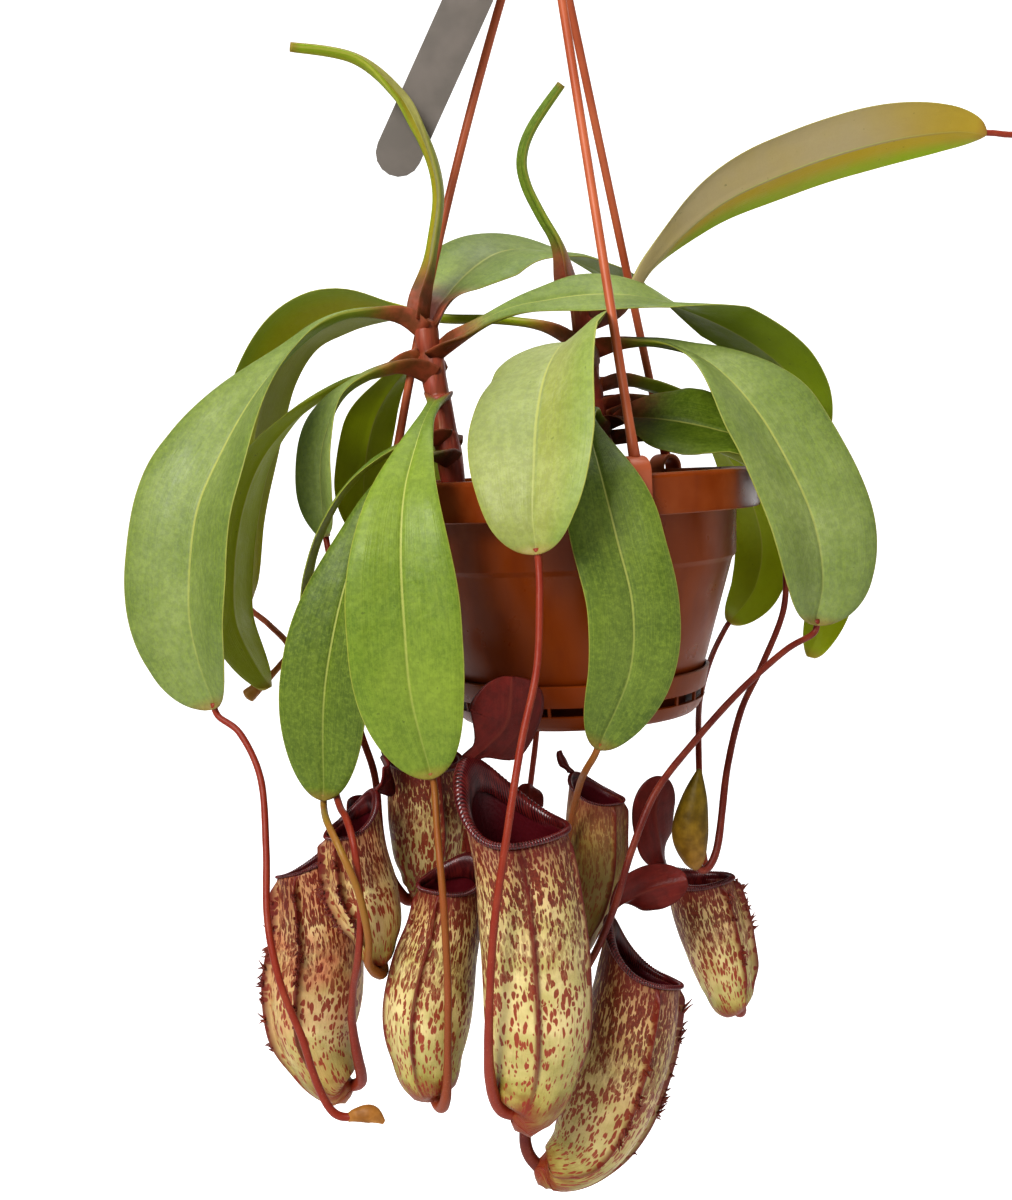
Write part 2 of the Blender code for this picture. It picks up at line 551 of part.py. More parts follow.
LEAVES = {
    "leaf_young_left": dict(
        stem="stem_left", half=3.2, petiole=0, widen=0.2, tip=0.4, fold=35, young=True,
        crown=True,
        spine=[(-50, -2, 60), (-46, -3, 82), (-42, -7, 104), (-46, -13, 122), (-55, -17, 136),
               (-69, -22, 148),
               (-90, -30, 151)],
        facing=[(-1, -0.6, 0.2), (-1, -0.6, 0.3), (-0.6, -0.6, 1), (0, -0.5, 1)]),
    "leaf_back_centre": dict(
        stem="stem_left", half=20, petiole=0.05, widen=0.3,
        spine=[(-48, 4, 55), (-40, 14, 72), (-22, 32, 87), (-1, 44, 88), (19, 55, 81), (38, 62, 70)],
        facing=[(-0.3, -0.6, 0.8), (0, -0.6, 0.8), (0.2, -0.2, 1), (0.8, 0.3, 0.7)]),
    "leaf_far_left": dict(
        stem="stem_right", half=17, petiole=0.27, widen=0.2,
        spine=[(8, 12, 47), (-6, 17, 56), (-22, 22, 60), (-44, 27, 62), (-64, 31, 66), (-84, 33, 67),
               (-102, 34, 60), (-115, 34, 42), (-123, 34, 16), (-129, 34, -14), (-128, 34, -44)],
        facing=[(0, 0, 1), (0, 0.3, 1), (-0.1, 0.5, 0.9), (-0.5, 0.55, 0.7), (-0.8, 0.55, 0.3), (-0.9, 0.5, 0)]),
    "leaf_big_left": dict(
        stem="stem_left", half=27.5, petiole=0.14, widen=0.46, fold=27,
        spine=[(-50, 1, 53), (-60, -4, 60), (-74, -10, 62), (-86, -16, 58), (-98, -22, 48), (-111, -28, 33),
               (-123, -33, 13), (-132, -37, -8), (-136, -40, -38), (-134, -40, -58), (-129, -40, -75)],
        facing=[(0, 0, 1), (-0.1, -0.1, 1), (-0.45, -0.6, 0.5), (-0.55, -0.83, 0.1), (-0.6, -0.8, -0.1)]),
    "leaf_left_under": dict(
        stem="stem_left", half=17, petiole=0.2,
        spine=[(-50, 1, 44), (-63, 4, 42), (-82, 7, 38), (-100, 9, 28), (-115, 10, 13), (-124, 10, -6),
               (-129, 10, -30), (-129, 9, -52), (-118, 8, -76)],
        facing=[(0, 0, 1), (0, 0.1, 1), (-0.7, 0.3, 0.6), (-0.9, 0.35, 0), (-0.9, 0.35, -0.1)]),
    "leaf_left_inner": dict(
        stem="stem_left", half=15, petiole=0.2, fold=22,
        spine=[(-47, -5, 36), (-59, -12, 41), (-71, -15, 39), (-82, -15, 31), (-89, -14, 16), (-91, -13, 0),
               (-90, -12, -18)],
        facing=[(0, 0, 1), (-0.2, -0.2, 1), (-0.75, -0.55, 0.5), (-0.8, -0.6, 0)]),
    "leaf_left_back": dict(
        stem="stem_left", half=13, petiole=0.2,
        spine=[(-49, 1, 38), (-51, 13, 43), (-61, 27, 43), (-74, 36, 26), (-80, 38, 2), (-80, 38, -22)],
        facing=[(0, 0, 1), (-0.2, 0.3, 1), (-0.6, 0.8, 0.4), (-0.6, 0.8, 0)]),
    "leaf_left_low": dict(
        stem="stem_left", half=11, petiole=0.15,
        spine=[(-44, -7, 14), (-55, -20, 14), (-68, -30, 9), (-80, -36, -2), (-88, -40, -16),
               (-93, -42, -31),
               (-95, -42, -41)],
        facing=[(0, 0, 1), (-0.3, 0, 1), (-0.8, 0, 0.6), (-0.95, 0.1, 0)]),
    "leaf_front_left": dict(
        stem="stem_left", half=16, petiole=0.25, widen=0.45,
        spine=[(-43, -8, 6), (-52, -36, 9), (-66, -58, -2), (-77, -66, -28), (-84, -68, -52),
               (-88, -67, -74),
               (-90, -63, -104)],
        facing=[(0, 0, 1), (-0.2, -0.4, 1), (-0.35, -0.9, 0.2), (-0.25, -0.95, 0), (-0.2, -0.95, -0.1)]),
    "leaf_front_bright": dict(
        stem="stem_left", half=19, petiole=0.2, widen=0.5,
        spine=[(-45, -6, 28), (-47, -32, 27), (-51, -58, 17), (-56, -76, 0), (-58, -84, -20),
               (-58, -87, -44),
               (-57, -87, -68), (-52, -84, -94)],
        facing=[(0, 0, 1), (0, -0.3, 1), (-0.1, -0.9, 0.5), (-0.1, -1, 0), (-0.1, -1, -0.1)]),
    "leaf_front_centre": dict(
        stem="stem_right", half=23.5, petiole=0.14, widen=0.32, tip=0.32, fold=19,
        spine=[(10, 8, 38), (8, -8, 45), (3, -27, 47), (-3, -46, 44), (-9, -65, 34), (-13, -79, 19), (-15, -89, 1),
               (-16, -93, -12), (-15, -93, -23)],
        facing=[(0, 0, 1), (-0.35, -0.2, 1), (-0.6, -0.45, 0.7), (-0.4, -0.9, 0.25), (-0.3, -0.95, 0)]),
    "leaf_over_right": dict(
        stem="stem_left", half=17, petiole=0.12, widen=0.35,
        spine=[(-48, -2, 44), (-37, -10, 51), (-25, -12, 58), (-8, -12, 63), (15, -9, 65), (37, -4, 62),
               (60, 4, 53),
               (79, 10, 41), (92, 13, 27), (99, 13, 12)],
        facing=[(0, -0.4, 1), (0, -0.7, 0.75), (0, -0.65, 0.8), (0.1, -0.35, 0.95), (0.3, 0.35, 0.9),
                (0.5, 0.45, 0.7), (0.8, 0.4, 0.4)]),
    "leaf_big_right": dict(
        stem="stem_right", half=25.5, petiole=0.14, widen=0.38, fold=22,
        spine=[(10, 11, 43), (23, 2, 47), (36, -7, 46), (52, -16, 38), (67, -23, 20), (78, -28, -2),
               (85, -31, -22),
               (87, -32, -41), (84, -31, -57)],
        facing=[(0, 0, 1), (0.1, -0.3, 1), (0.45, -0.75, 0.4), (0.5, -0.85, 0.1), (0.45, -0.9, 0)]),
    "leaf_up_right": dict(
        stem="stem_right", half=15, petiole=0.08, widen=0.45, tip=0.3, fold=24, young=True,
        spine=[(8, 12, 55), (24, 17, 61), (37, 20, 79), (63, 23, 100), (95, 25, 113), (126, 27, 121),
               (152, 29, 124),
               (168, 30, 123)],
        facing=[(-0.4, 0.4, 1), (-0.4, 0.9, 0.8), (-0.3, 1, 0.8), (0, 1, 0.8)]),
    "leaf_young_right": dict(
        stem="stem_right", half=2.6, petiole=0, widen=0.2, tip=0.4, fold=35, young=True,
        crown=True,
        spine=[(7, 12, 68), (2, 10, 84), (-5, 8, 97), (-10, 6, 108), (-11, 4, 117), (-7, 2, 127),
               (4, -2, 141)],
        facing=[(-1, -0.6, 0.2), (-1, -0.6, 0.2), (-0.7, -0.7, 0.4), (-0.5, -0.7, 0.6)]),
    "leaf_right_inner": dict(
        stem="stem_right", half=17.5, petiole=0.08, widen=0.35,
        spine=[(13, 10, 16), (25, -1, 20), (39, -9, 18), (54, -13, 14), (67, -18, 9), (76, -20, -3)],
        facing=[(0, 0, 1), (0, -0.7, 0.7), (0.1, -0.75, 0.65), (0.35, -0.55, 0.75), (0.7, -0.5, 0.5)]),
    "leaf_right_small": dict(
        stem="stem_right", half=5, petiole=0.1,
        spine=[(11, 12, 32), (26, 24, 34), (42, 33, 30), (60, 40, 21)],
        facing=[(0, 0, 1), (0.1, 0.4, 1), (0.4, 0.4, 0.8)]),
    "leaf_right_dark": dict(
        stem="stem_right", half=9, petiole=0.2, root_gap=CLEAR + 0.2,
        spine=[(13, 10, 24), (32, 20, 27), (50, 24, 22), (66, 24, 11), (77, 22, -3), (83, 20, -20)],
        facing=[(0, 0, 1), (0.1, 0, 1), (0.6, -0.3, 0.7), (0.9, -0.3, 0.1)]),
    "leaf_back_right": dict(
        stem="stem_right", half=13, petiole=0.3,
        spine=[(13, 11, 20), (36, 30, 25), (58, 52, 17), (76, 67, -6), (84, 71, -32), (80, 68, -52),
               (68, 64, -66)],
        facing=[(0, 0, 1), (0, 0.2, 1), (0.6, 0.7, 0.4), (0.5, 0.85, 0), (0.4, 0.9, -0.2)]),
    "leaf_back_low": dict(
        stem="stem_right", half=13, petiole=0.3,
        spine=[(14, 10, 12), (48, 36, 12), (78, 40, -2), (97, 34, -26), (103, 30, -50), (94, 27, -77)],
        facing=[(0, 0, 1), (0.1, 0.2, 1), (0.8, 0.5, 0.3), (0.8, 0.6, 0)]),
    "leaf_front_right": dict(
        stem="stem_right", half=15.5, petiole=0.3, widen=0.3,
        spine=[(13, 8, 12), (9, -22, 22), (5, -50, 18), (7, -72, 2), (11, -80, -20), (15, -82, -42),
               (13, -82, -64),
               (2, -79, -88)],
        facing=[(0, 0, 1), (0, -0.2, 1), (0.1, -0.9, 0.4), (0.15, -1, 0), (0.1, -1, -0.1)]),
    "leaf_back_left": dict(
        stem="stem_left", half=14, petiole=0.35,
        spine=[(-43, -8, 10), (-44, 20, 17), (-49, 46, 20), (-56, 68, 8), (-61, 78, -16), (-62, 77, -44)],
        facing=[(0, 0, 1), (0, 0.2, 1), (-0.3, 0.9, 0.4), (-0.4, 0.95, 0)]),
    "leaf_back_middle": dict(
        stem="stem_right", half=17, petiole=0.25,
        spine=[(11, 12, 28), (6, 38, 34), (-2, 62, 28), (-8, 80, 6), (-12, 86, -24), (-14, 82, -56)],
        facing=[(0, 0, 1), (0, 0.3, 1), (0, 0.9, 0.5), (0, 1, 0), (0, 1, -0.2)]),
}


def make_leaf(name, leaf):
    grid = blade_grid(leaf, rooted(leaf), LEAF_ROWS, LEAF_COLUMNS)
    skin = YOUNG_SKIN if leaf.get("young") else LEAF_SKIN
    return thicken(loft(name, grid, skin, closed=False), BLADE_THICK)


# Pitchers: each route runs from the tendril's end up to the mouth, as (x, y, z, radius)

PITCHERS = {
    "pitcher_left": dict(
        front=(-0.9, -0.45, 0), ridges=(-12, 47), rise=9, wing=3.0, lid=[(-84, -36, -118), (-78, -30, -112)], lid_half=6,
        route=[(-88, -46, -212, 1.3), (-93, -46, -211, 5), (-97, -46, -203, 10.5), (-100, -45, -190, 14.5),
               (-99, -45, -175, 16.5), (-97, -45, -158, 15), (-98, -46, -144, 12.3), (-99, -46, -134, 11)]),
    "pitcher_left_front": dict(
        front=(-0.85, -0.5, 0), ridges=(-15, 32), rise=10, wing=3.0, lid=[(-68, -60, -98), (-70, -56, -92)], lid_half=7,
        route=[(-73, -72, -159, 1.3), (-74, -72, -154, 4.6), (-74, -72, -145, 8.8), (-77, -70, -135, 11.1),
               (-79, -70, -124, 10.4), (-80, -70, -114, 9.1)]),
    "pitcher_inner": dict(
        front=(0.75, -0.65, 0), rise=8, wing=2.0, lid=[(-67, -30, -84), (-70, -27, -76)], lid_half=7,
        route=[(-63, -40, -147, 1.3), (-60, -40, -143, 5.6), (-58, -40, -134, 11.1), (-57, -40, -122, 13.5),
               (-57, -40, -111, 13.5), (-57, -40, -99, 12.5)]),
    "pitcher_middle": dict(
        front=(-0.6, -0.8, 0), ridges=(-43, 17), rise=10, wing=1.5, lid=[(-40, -58, -117), (-38, -52, -112)], lid_half=6,
        route=[(-57, -74, -206, 1.3), (-58, -73, -203, 5.3), (-59, -72, -193, 11), (-58, -72, -177, 14.2),
               (-55, -72, -161, 13.7), (-51, -72, -147, 11.7), (-49, -72, -135, 10.1)]),
    "pitcher_front": dict(
        front=(0.77, -0.64, 0), ridges=(-50, 25), rise=24, power=3.2, wing=1.2,
        lid=[(-28, -78, -79), (-25, -79, -63)], lid_half=14, lid_facing=(-0.3, 1, 0.3),
        route=[(-32, -95, -203, 1.3), (-28, -94, -202, 6.8), (-24, -92, -190, 13.6), (-22, -92, -172, 16.8),
               (-22, -92, -148, 17.1), (-23, -92, -128, 16.2), (-25, -92, -113, 15.6)]),
    "pitcher_right_back": dict(
        front=(0.85, -0.5, 0), rise=7, wing=1.5, lid=[(-7, -33, -103), (-9, -31, -98)], lid_half=3.5,
        route=[(-8, -40, -170, 1.3), (-6, -40, -165, 4.2), (-2, -40, -152, 8.7), (1, -40, -138, 10.4),
               (2, -40, -125, 10.4), (3, -40, -114, 9.7)]),
    "pitcher_right_low": dict(
        front=(0.95, -0.3, 0), ridges=(-52, 20), rise=17, power=3.0, wing=2.5, lid_half=8,
        lid=[(8, -63, -145), (18, -65, -140), (31, -66, -137)], lid_facing=(0.2, 1, -0.2),
        route=[(-25, -62, -237, 1.3), (-19, -62, -238, 5.2), (-9, -62, -232, 11.8), (0, -62, -218, 15),
               (7, -62, -200, 15.6), (11, -62, -185, 15.3), (14, -62, -172, 13.9)]),
    "pitcher_right": dict(
        front=(0.9, -0.45, 0), ridges=(-30, 21), rise=5, wing=2.5, lid_half=9,
        lid=[(25, -33, -135), (24, -35, -120), (27, -36, -108)], lid_facing=(-0.2, 1, 0),
        route=[(52, -30, -198, 1.3), (50, -30, -194, 5.7), (48, -30, -186, 9.6), (45, -30, -172, 11.7),
               (42, -30, -160, 12.4), (40, -30, -150, 11.7)]),
    "pitcher_back": dict(
        front=(0, -1, 0), rise=8, wing=1.5, lid=[(-20, 34, -130), (-20, 38, -125)], lid_half=6,
        route=[(-22, 25, -199, 1.3), (-21, 24, -194, 4.5), (-20, 23, -183, 9), (-19, 22, -168, 11),
               (-19, 22, -158, 10), (-20, 22, -147, 9)]),
}


def mouth_lift(angle, pitcher):
    """How far the mouth's edge stands above its low front, rising to the neck at the back."""
    return pitcher["rise"] * ((1 - math.cos(angle)) / 2) ** pitcher.get("power", MOUTH_POWER)


def ring_angles(pitcher):
    """Degrees from the front: both ridges and their feet, then evenly round the back."""
    low, high = pitcher.get("ridges", RIDGE_ANGLES)
    front = [low, low + RIDGE_FOOT, (low + high) / 2, high - RIDGE_FOOT, high]
    return front + list(np.linspace(high + RIDGE_FOOT, low + 360 - RIDGE_FOOT, BACK_ANGLES))


def wing_height(degrees, t, pitcher):
    """The two ridges down the front, from under the mouth to near the base."""
    crest = degrees in pitcher.get("ridges", RIDGE_ANGLES)
    fade = smooth((t - 0.12) / 0.25) * smooth((1 - t) / 0.12)
    return pitcher["wing"] * fade if crest else 0.0


def pitcher_ring(pitcher, centre, tangent, radius, t, lift, winged):
    """One ring of points; the upper rings follow the slanted mouth."""
    front = unit(np.array(pitcher["front"]) - tangent * np.dot(pitcher["front"], tangent))
    side = np.cross(tangent, front)
    slant = smooth((t - 0.62) / 0.38)
    ring = []
    for degrees in ring_angles(pitcher):
        angle = math.radians(degrees)
        reach = radius + (wing_height(degrees, t, pitcher) if winged else 0)
        rise = slant * mouth_lift(angle, pitcher) + lift
        ring.append(centre + reach * (front * math.cos(angle) + side * math.sin(angle)) + tangent * rise)
    return ring


def make_pitcher(name, pitcher):
    """A hollow jug: outer wall, rolled lip, inner wall, two ridges at the front and a lid at the back."""
    rings = []
    for t, found, tangent in zip(OUTER_RINGS, *route_through(pitcher["route"], OUTER_RINGS)):
        rings.append(pitcher_ring(pitcher, found[:3], tangent, found[3], t, 0, True))
    (mouth,), (axis,) = route_through(pitcher["route"], [1.0])
    for out, lift in LIP:
        rings.append(pitcher_ring(pitcher, mouth[:3], axis, mouth[3] + out, 1, lift, False))
    for t, found, tangent in zip(INNER_RINGS, *route_through(pitcher["route"], INNER_RINGS)):
        rings.append(pitcher_ring(pitcher, found[:3], tangent, found[3] - PITCHER_WALL, t, 0, False))
    jug = loft(name, rings, PITCHER_SKIN)
    front = unit(np.array(pitcher["front"]) - axis * np.dot(pitcher["front"], axis))
    neck = mouth[:3] - front * (mouth[3] + 0.4) + axis * (pitcher["rise"] + 1.2)
    lid = dict(half=pitcher["lid_half"], petiole=0.12, widen=0.3, tip=0.4, fold=8)
    lid["facing"] = [-front, pitcher.get("lid_facing", -front + axis)]
    spine = [neck] + pitcher["lid"]
    grid = blade_grid(lid, spine, LID_ROWS, LID_COLUMNS)
    cover = as_mesh(thicken(loft(name + "_lid", grid, PITCHER_SKIN, closed=False), LID_THICK))
    combine(jug, cover, "UNION")
    return jug


# Buds: young or dried pitchers that are still closed, as (x, y, z, radius)

BUDS = {
    "bud_upright": [(36, -54, -137, 1.2), (35, -54, -133, 4), (34, -54, -124, 6), (36, -54, -112, 4.2),
                    (38, -54, -102, 0.7)],
    "bud_dry": [(-87, -74, -211, 1.2), (-84, -74, -210, 2.2), (-79, -74, -210, 2.8), (-75, -74, -213, 0.7)],
}


def make_bud(name, route):
    found, _ = route_through(route, np.linspace(0, 1, 8))
    return tube(name, found[:, :3], found[:, 3], BUD_SKIN)


# Tendrils: from the tip of a leaf, along the points between, to the base of a pitcher or bud

TENDRILS = {
    "tendril_far_left": dict(
        leaf="leaf_far_left",
        via=[(-120, 32, -54), (-112, 27, -63), (-117, 22, -71), (-129, 20, -81)], swell=2.2),
    "tendril_big_left": dict(
        leaf="leaf_big_left", to="bud_dry",
        via=[(-120, -44, -84), (-113, -50, -99), (-111, -60, -121), (-110, -72, -142), (-106, -78, -162),
             (-100, -78, -181), (-97, -76, -196), (-93, -74, -208)]),
    "tendril_left_low": dict(
        leaf="leaf_left_low", to="pitcher_left",
        via=[(-92, -46, -62), (-90, -50, -85), (-87, -57, -101), (-84, -68, -106), (-81, -79, -107),
             (-78, -87, -115), (-77, -88, -134), (-79, -85, -151), (-83, -73, -168), (-85, -63, -185),
             (-84, -56, -202)]),
    "tendril_front_left": dict(
        leaf="leaf_front_left", to="pitcher_left_front",
        via=[(-87, -80, -108), (-82, -90, -115), (-77, -92, -128), (-75, -89, -144), (-76, -82, -156)]),
    "tendril_left_inner": dict(
        leaf="leaf_left_inner", to="pitcher_inner",
        via=[(-86, -20, -40), (-80, -38, -80), (-74, -47, -100), (-73, -47, -122), (-71, -43, -138),
             (-67, -40, -146)]),
    "tendril_front_bright": dict(
        leaf="leaf_front_bright", to="pitcher_middle",
        via=[(-51, -88, -110), (-50, -94, -131), (-50, -93, -158), (-51.5, -88, -184), (-53, -83, -201)]),
    "tendril_front_centre": dict(
        leaf="leaf_front_centre", to="pitcher_front",
        via=[(-15, -96, -37), (-17, -101, -58), (-23, -108, -80), (-29, -115, -108), (-34, -115, -135),
             (-37, -111, -165), (-38, -103, -188), (-36, -97, -199)]),
    "tendril_front_right": dict(
        leaf="leaf_front_right", to="pitcher_right_back",
        via=[(-2, -75, -96), (-4, -64, -104), (-7, -54, -119), (-10, -50, -136), (-13, -46, -155),
             (-12, -42, -168)]),
    "tendril_big_right": dict(
        leaf="leaf_big_right", to="pitcher_right_low",
        via=[(72, -36, -65), (54, -46, -77), (36, -60, -91), (21, -72, -105), (12, -76, -123),
             (6, -77, -140),
             (-1, -74, -157), (-11, -66, -177), (-20, -64, -198), (-27, -62, -217), (-29, -62, -231)]),
    "tendril_back_right": dict(
        leaf="leaf_back_right", to="pitcher_right",
        via=[(58, 52, -79), (50, 30, -92), (46, 8, -105), (44, -6, -124), (44, -9, -143), (48, -9, -165),
             (53, -13, -186), (54, -21, -197)]),
    "tendril_right_dark": dict(
        leaf="leaf_right_dark", to="bud_upright",
        via=[(84, 20, -38), (82, 18, -57), (71, 8, -77), (60, -10, -90), (51, -32, -106), (46, -46, -122),
             (43, -52, -134), (39, -54, -139)]),
    "tendril_back_middle": dict(
        leaf="leaf_back_middle", to="pitcher_back",
        via=[(-13, 70, -80), (-15, 58, -105), (-20, 52, -135), (-23, 46, -162), (-24, 36, -188),
             (-23, 29, -199)]),
    "tendril_up_right": dict(leaf="leaf_up_right", via=[(180, 31, 122), (196, 34, 124), (207, 37, 119)]),
}


def make_tendril(name, tendril):
    """A thin stalk, set a hair off the leaf's tip and off the pitcher's base."""
    (tip,), (onward,) = route_through(rooted(LEAVES[tendril["leaf"]]), [1.0])
    points = [tip + onward * TIP_GAP, tip + onward * TENDRIL_LEAD]
    points += [np.array(point, float) for point in tendril["via"]]
    if "to" in tendril:
        goal = {**PITCHERS, **BUDS}[tendril["to"]]
        (base,), (inward,) = route_through(goal["route"] if "route" in goal else goal, [0.0])
        points += [base[:3] - inward * TENDRIL_LEAD, base[:3] - inward * BASE_GAP]
    line, _ = route_through(points, TENDRIL_SHARES)
    swell = tendril.get("swell", 1.0)
    return tube(name, line, [TENDRIL_RADIUS] * 4 + [TENDRIL_RADIUS * swell], TENDRIL_SKIN)


def main():
    make_pot()
    make_tray()
    make_hook()
    for name, degrees in ROD_ANGLES.items():
        make_rod(name, degrees)
    make_label()
    make_soil()
    for name, stem in STEMS.items():
        make_stem(name, **stem)
    for name, leaf in LEAVES.items():
        make_leaf(name, leaf)
    for name, tendril in TENDRILS.items():
        make_tendril(name, tendril)
    for name, pitcher in PITCHERS.items():
        make_pitcher(name, pitcher)
    for name, route in BUDS.items():
        make_bud(name, route)


main()
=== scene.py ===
"""A tropical pitcher plant in its hanging pot, dressed for rendering, in the CAD model's frame.

The plant is described in millimetres from the centre of the pot's rim, X to the right, Y away from
the viewer, Z up, as in the CAD source; place() lowers it to the frame, whose origin is the hook's seat.
"""
import math

import bmesh
import bpy
import numpy as np
from mathutils import Matrix, Vector, noise


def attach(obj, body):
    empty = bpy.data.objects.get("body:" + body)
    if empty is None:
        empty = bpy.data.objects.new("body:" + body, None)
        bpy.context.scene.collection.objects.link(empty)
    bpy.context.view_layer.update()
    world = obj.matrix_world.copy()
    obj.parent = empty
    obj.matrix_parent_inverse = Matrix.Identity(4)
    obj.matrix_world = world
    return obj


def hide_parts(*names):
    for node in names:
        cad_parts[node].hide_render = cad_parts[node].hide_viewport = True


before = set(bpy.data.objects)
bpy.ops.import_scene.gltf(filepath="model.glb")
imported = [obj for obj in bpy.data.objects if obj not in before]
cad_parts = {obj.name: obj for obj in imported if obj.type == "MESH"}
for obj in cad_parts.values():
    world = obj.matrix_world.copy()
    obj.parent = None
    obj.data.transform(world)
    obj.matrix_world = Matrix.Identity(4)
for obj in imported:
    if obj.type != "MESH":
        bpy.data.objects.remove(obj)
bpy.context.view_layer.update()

MM = 0.001
SEED = 11

# Sizes shared with the CAD model
HANG_DROP = 262.0
HUB_LOW = 203.0
ROD_RADIUS = 1.6
ROD_APEX = 217.0
ROD_SINK = 5.0
ROD_ANGLES = {"rod_front": -73, "rod_right": 50, "rod_left": 172}
ROD_BOW = {"rod_front": 0.0, "rod_right": 0.0, "rod_left": 4.5}
CLIP_RISE = 6.0
CLIP_WIDTH = 7.0
CLIP_THICK = 1.8
CLIP_RADIUS = 66.0
RIM_RADIUS = 70.0
RIM_SKIRT = 14.0
WALL = 1.6
WALL_TOP_RADIUS = 62.0
BAND_RADIUS = 61.0
BAND_DEPTH = 31.5
BODY_RADIUS = 59.3
POT_FLOOR = 80.0
POT_FLOOR_RADIUS = 45.3
FOOT_RADIUS = 39.0
TRAY_TOP = 72.0
TRAY_TOP_RADIUS = 49.7
TRAY_WAIST = 80.0
TRAY_WAIST_RADIUS = 48.0
TRAY_SLOT = 3.0
TRAY_BOTTOM = 89.0
TRAY_BOTTOM_RADIUS = 42.0
TRAY_SLOTS = 24
TRAY_SKIN = 1.2
SOIL_DEPTH = 10.0
SOIL_RADIUS = 58.5
STEM_SINK = 12.0
PETIOLE_HALF = 2.7
TIP_HALF = 1.5
TENDRIL_RADIUS = 1.3
PITCHER_WALL = 1.3
FOOT_RADIUS_SHARE = 1.7
MOUTH_POWER = 2.2
RIDGE_ANGLES = (-24, 24)

# The turns that rings start from, and how far a round skin's pattern spreads
RING_HINT = (0.3, 0.2, 0.9)
SKIN_SPREAD = 14
# Rows crowd towards a blade's tip by this power
TIP_CROWDING = 1.35
# From this share of its height a jug's rings slant towards its mouth
SLANT_START = 0.62
# A petiole widens where it clasps its stem, and the widening fades from a distance over a length
CLASP_SPREAD, CLASP_START, CLASP_FADE = 2.6, 5, 22
# Its rosy foot fades from this far out over this length, a little less on the crown's leaf
ROSY_START, ROSY_FADE, ROSY_FADE_CROWN = 6, 27, 26
TENDRIL_OVERLAP = 2.0
CHIP_COUNT = 420
LIP_RIBS = 105
EXPOSURE = -0.35

# The photograph's camera: focal length in pixels of its 1200-pixel height
CAMERA_PLACE = (-25.4, -550.0, 6.7)
CAMERA_LENS = 44.1
CAMERA_SENSOR = 36.0
CAMERA_PITCH = math.radians(5.44)
CAMERA_ROLL = math.radians(2.8)


def place(point):
    return Vector((point[0] * MM, point[1] * MM, (point[2] - HANG_DROP) * MM))


# Curves and rings

def square_to(way, vector):
    """What is left of a vector square to a way, at length 1."""
    return unit(np.asarray(vector, float) - way * np.dot(vector, way))


def turns(count):
    """Angles all the way round."""
    return np.linspace(0, 2 * math.pi, count, endpoint=False)


def outward(side, up, angle):
    return side * math.cos(angle) + up * math.sin(angle)


def unit(vector):
    vector = np.asarray(vector, float)
    return vector / np.linalg.norm(vector)


def smooth(value):
    """Smoothstep from 0 at 0 to 1 at 1."""
    value = min(1.0, max(0.0, value))
    return value * value * (3 - 2 * value)


def bell(value, width):
    return math.exp(-(value / width) ** 2)


def curve_point(points, position):
    """Catmull-Rom curve through the points, at a position counted in points."""
    last = len(points) - 1
    index = min(int(position), last - 1)
    t = position - index
    a, b, c, d = (np.asarray(points[min(max(k, 0), last)], float) for k in range(index - 1, index + 3))
    square, cube = t ** 2, t ** 3
    return 0.5 * (2 * b + (c - a) * t + (2 * a - 5 * b + 4 * c - d) * square + (3 * b - a - 3 * c + d) * cube)


def route_through(points, shares):
    """Points at shares of the length of a smooth curve through the given ones, with tangents."""
    fine = np.array([curve_point(points, p) for p in np.linspace(0, len(points) - 1, 40 * len(points))])
    steps = np.linalg.norm(np.diff(fine[:, :3], axis=0), axis=1)
    length = np.concatenate([[0], np.cumsum(steps)])
    wanted = np.asarray(shares) * length[-1]
    found = np.stack([np.interp(wanted, length, column) for column in fine.T], axis=1)
    slopes = np.gradient(fine[:, :3], axis=0)
    ways = np.stack([np.interp(wanted, length, column) for column in slopes.T], axis=1)
    return found, [unit(way) for way in ways]


def between(values, t):
    """Values given at even steps from 0 to 1, blended at t."""
    values = np.asarray(values, float)
    if values.ndim == 1:
        return float(np.interp(t * (len(values) - 1), range(len(values)), values))
    return np.array([np.interp(t * (len(values) - 1), range(len(values)), column) for column in values.T])


def waves(x, y, seed):
    """Smooth noise from -1 to 1."""
    return noise.noise(Vector((x, y, seed * 7.3)))


# Makers

def dress(item, material, nodes=()):
    item.data.materials.clear()
    item.data.materials.append(material)
    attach(item, "root")
    if nodes:
        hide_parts(*nodes)
    return item


def linked(name, data):
    item = bpy.data.objects.new(name, data)
    bpy.context.scene.collection.objects.link(item)
    return item


def ring_mesh(name, rings, fields=None, caps=True, closed=True):
    """A smooth-shaded mesh over rings of points in millimetres, with named values per point."""
    rings = np.asarray(rings, float)
    rows, count = rings.shape[:2]
    coords = rings.reshape(-1, 3) * MM
    coords[:, 2] -= HANG_DROP * MM
    spans = count if closed else count - 1
    faces = []
    for row in range(rows - 1):
        low, high = row * count, (row + 1) * count
        faces += [(low + k, low + (k + 1) % count, high + (k + 1) % count, high + k) for k in range(spans)]
    if caps:
        faces.append(tuple(reversed(range(count))))
        faces.append(tuple(range((rows - 1) * count, rows * count)))
    data = bpy.data.meshes.new(name)
    data.from_pydata(coords.tolist(), [], faces)
    for field, values in (fields or {}).items():
        values = np.asarray(values, float)
        kind = "FLOAT_VECTOR" if values.shape[-1] == 3 and values.ndim == 3 else "FLOAT"
        layer = data.attributes.new(field, kind, "POINT")
        layer.data.foreach_set("vector" if kind == "FLOAT_VECTOR" else "value", values.ravel())
    data.shade_smooth()
    return linked(name, data)


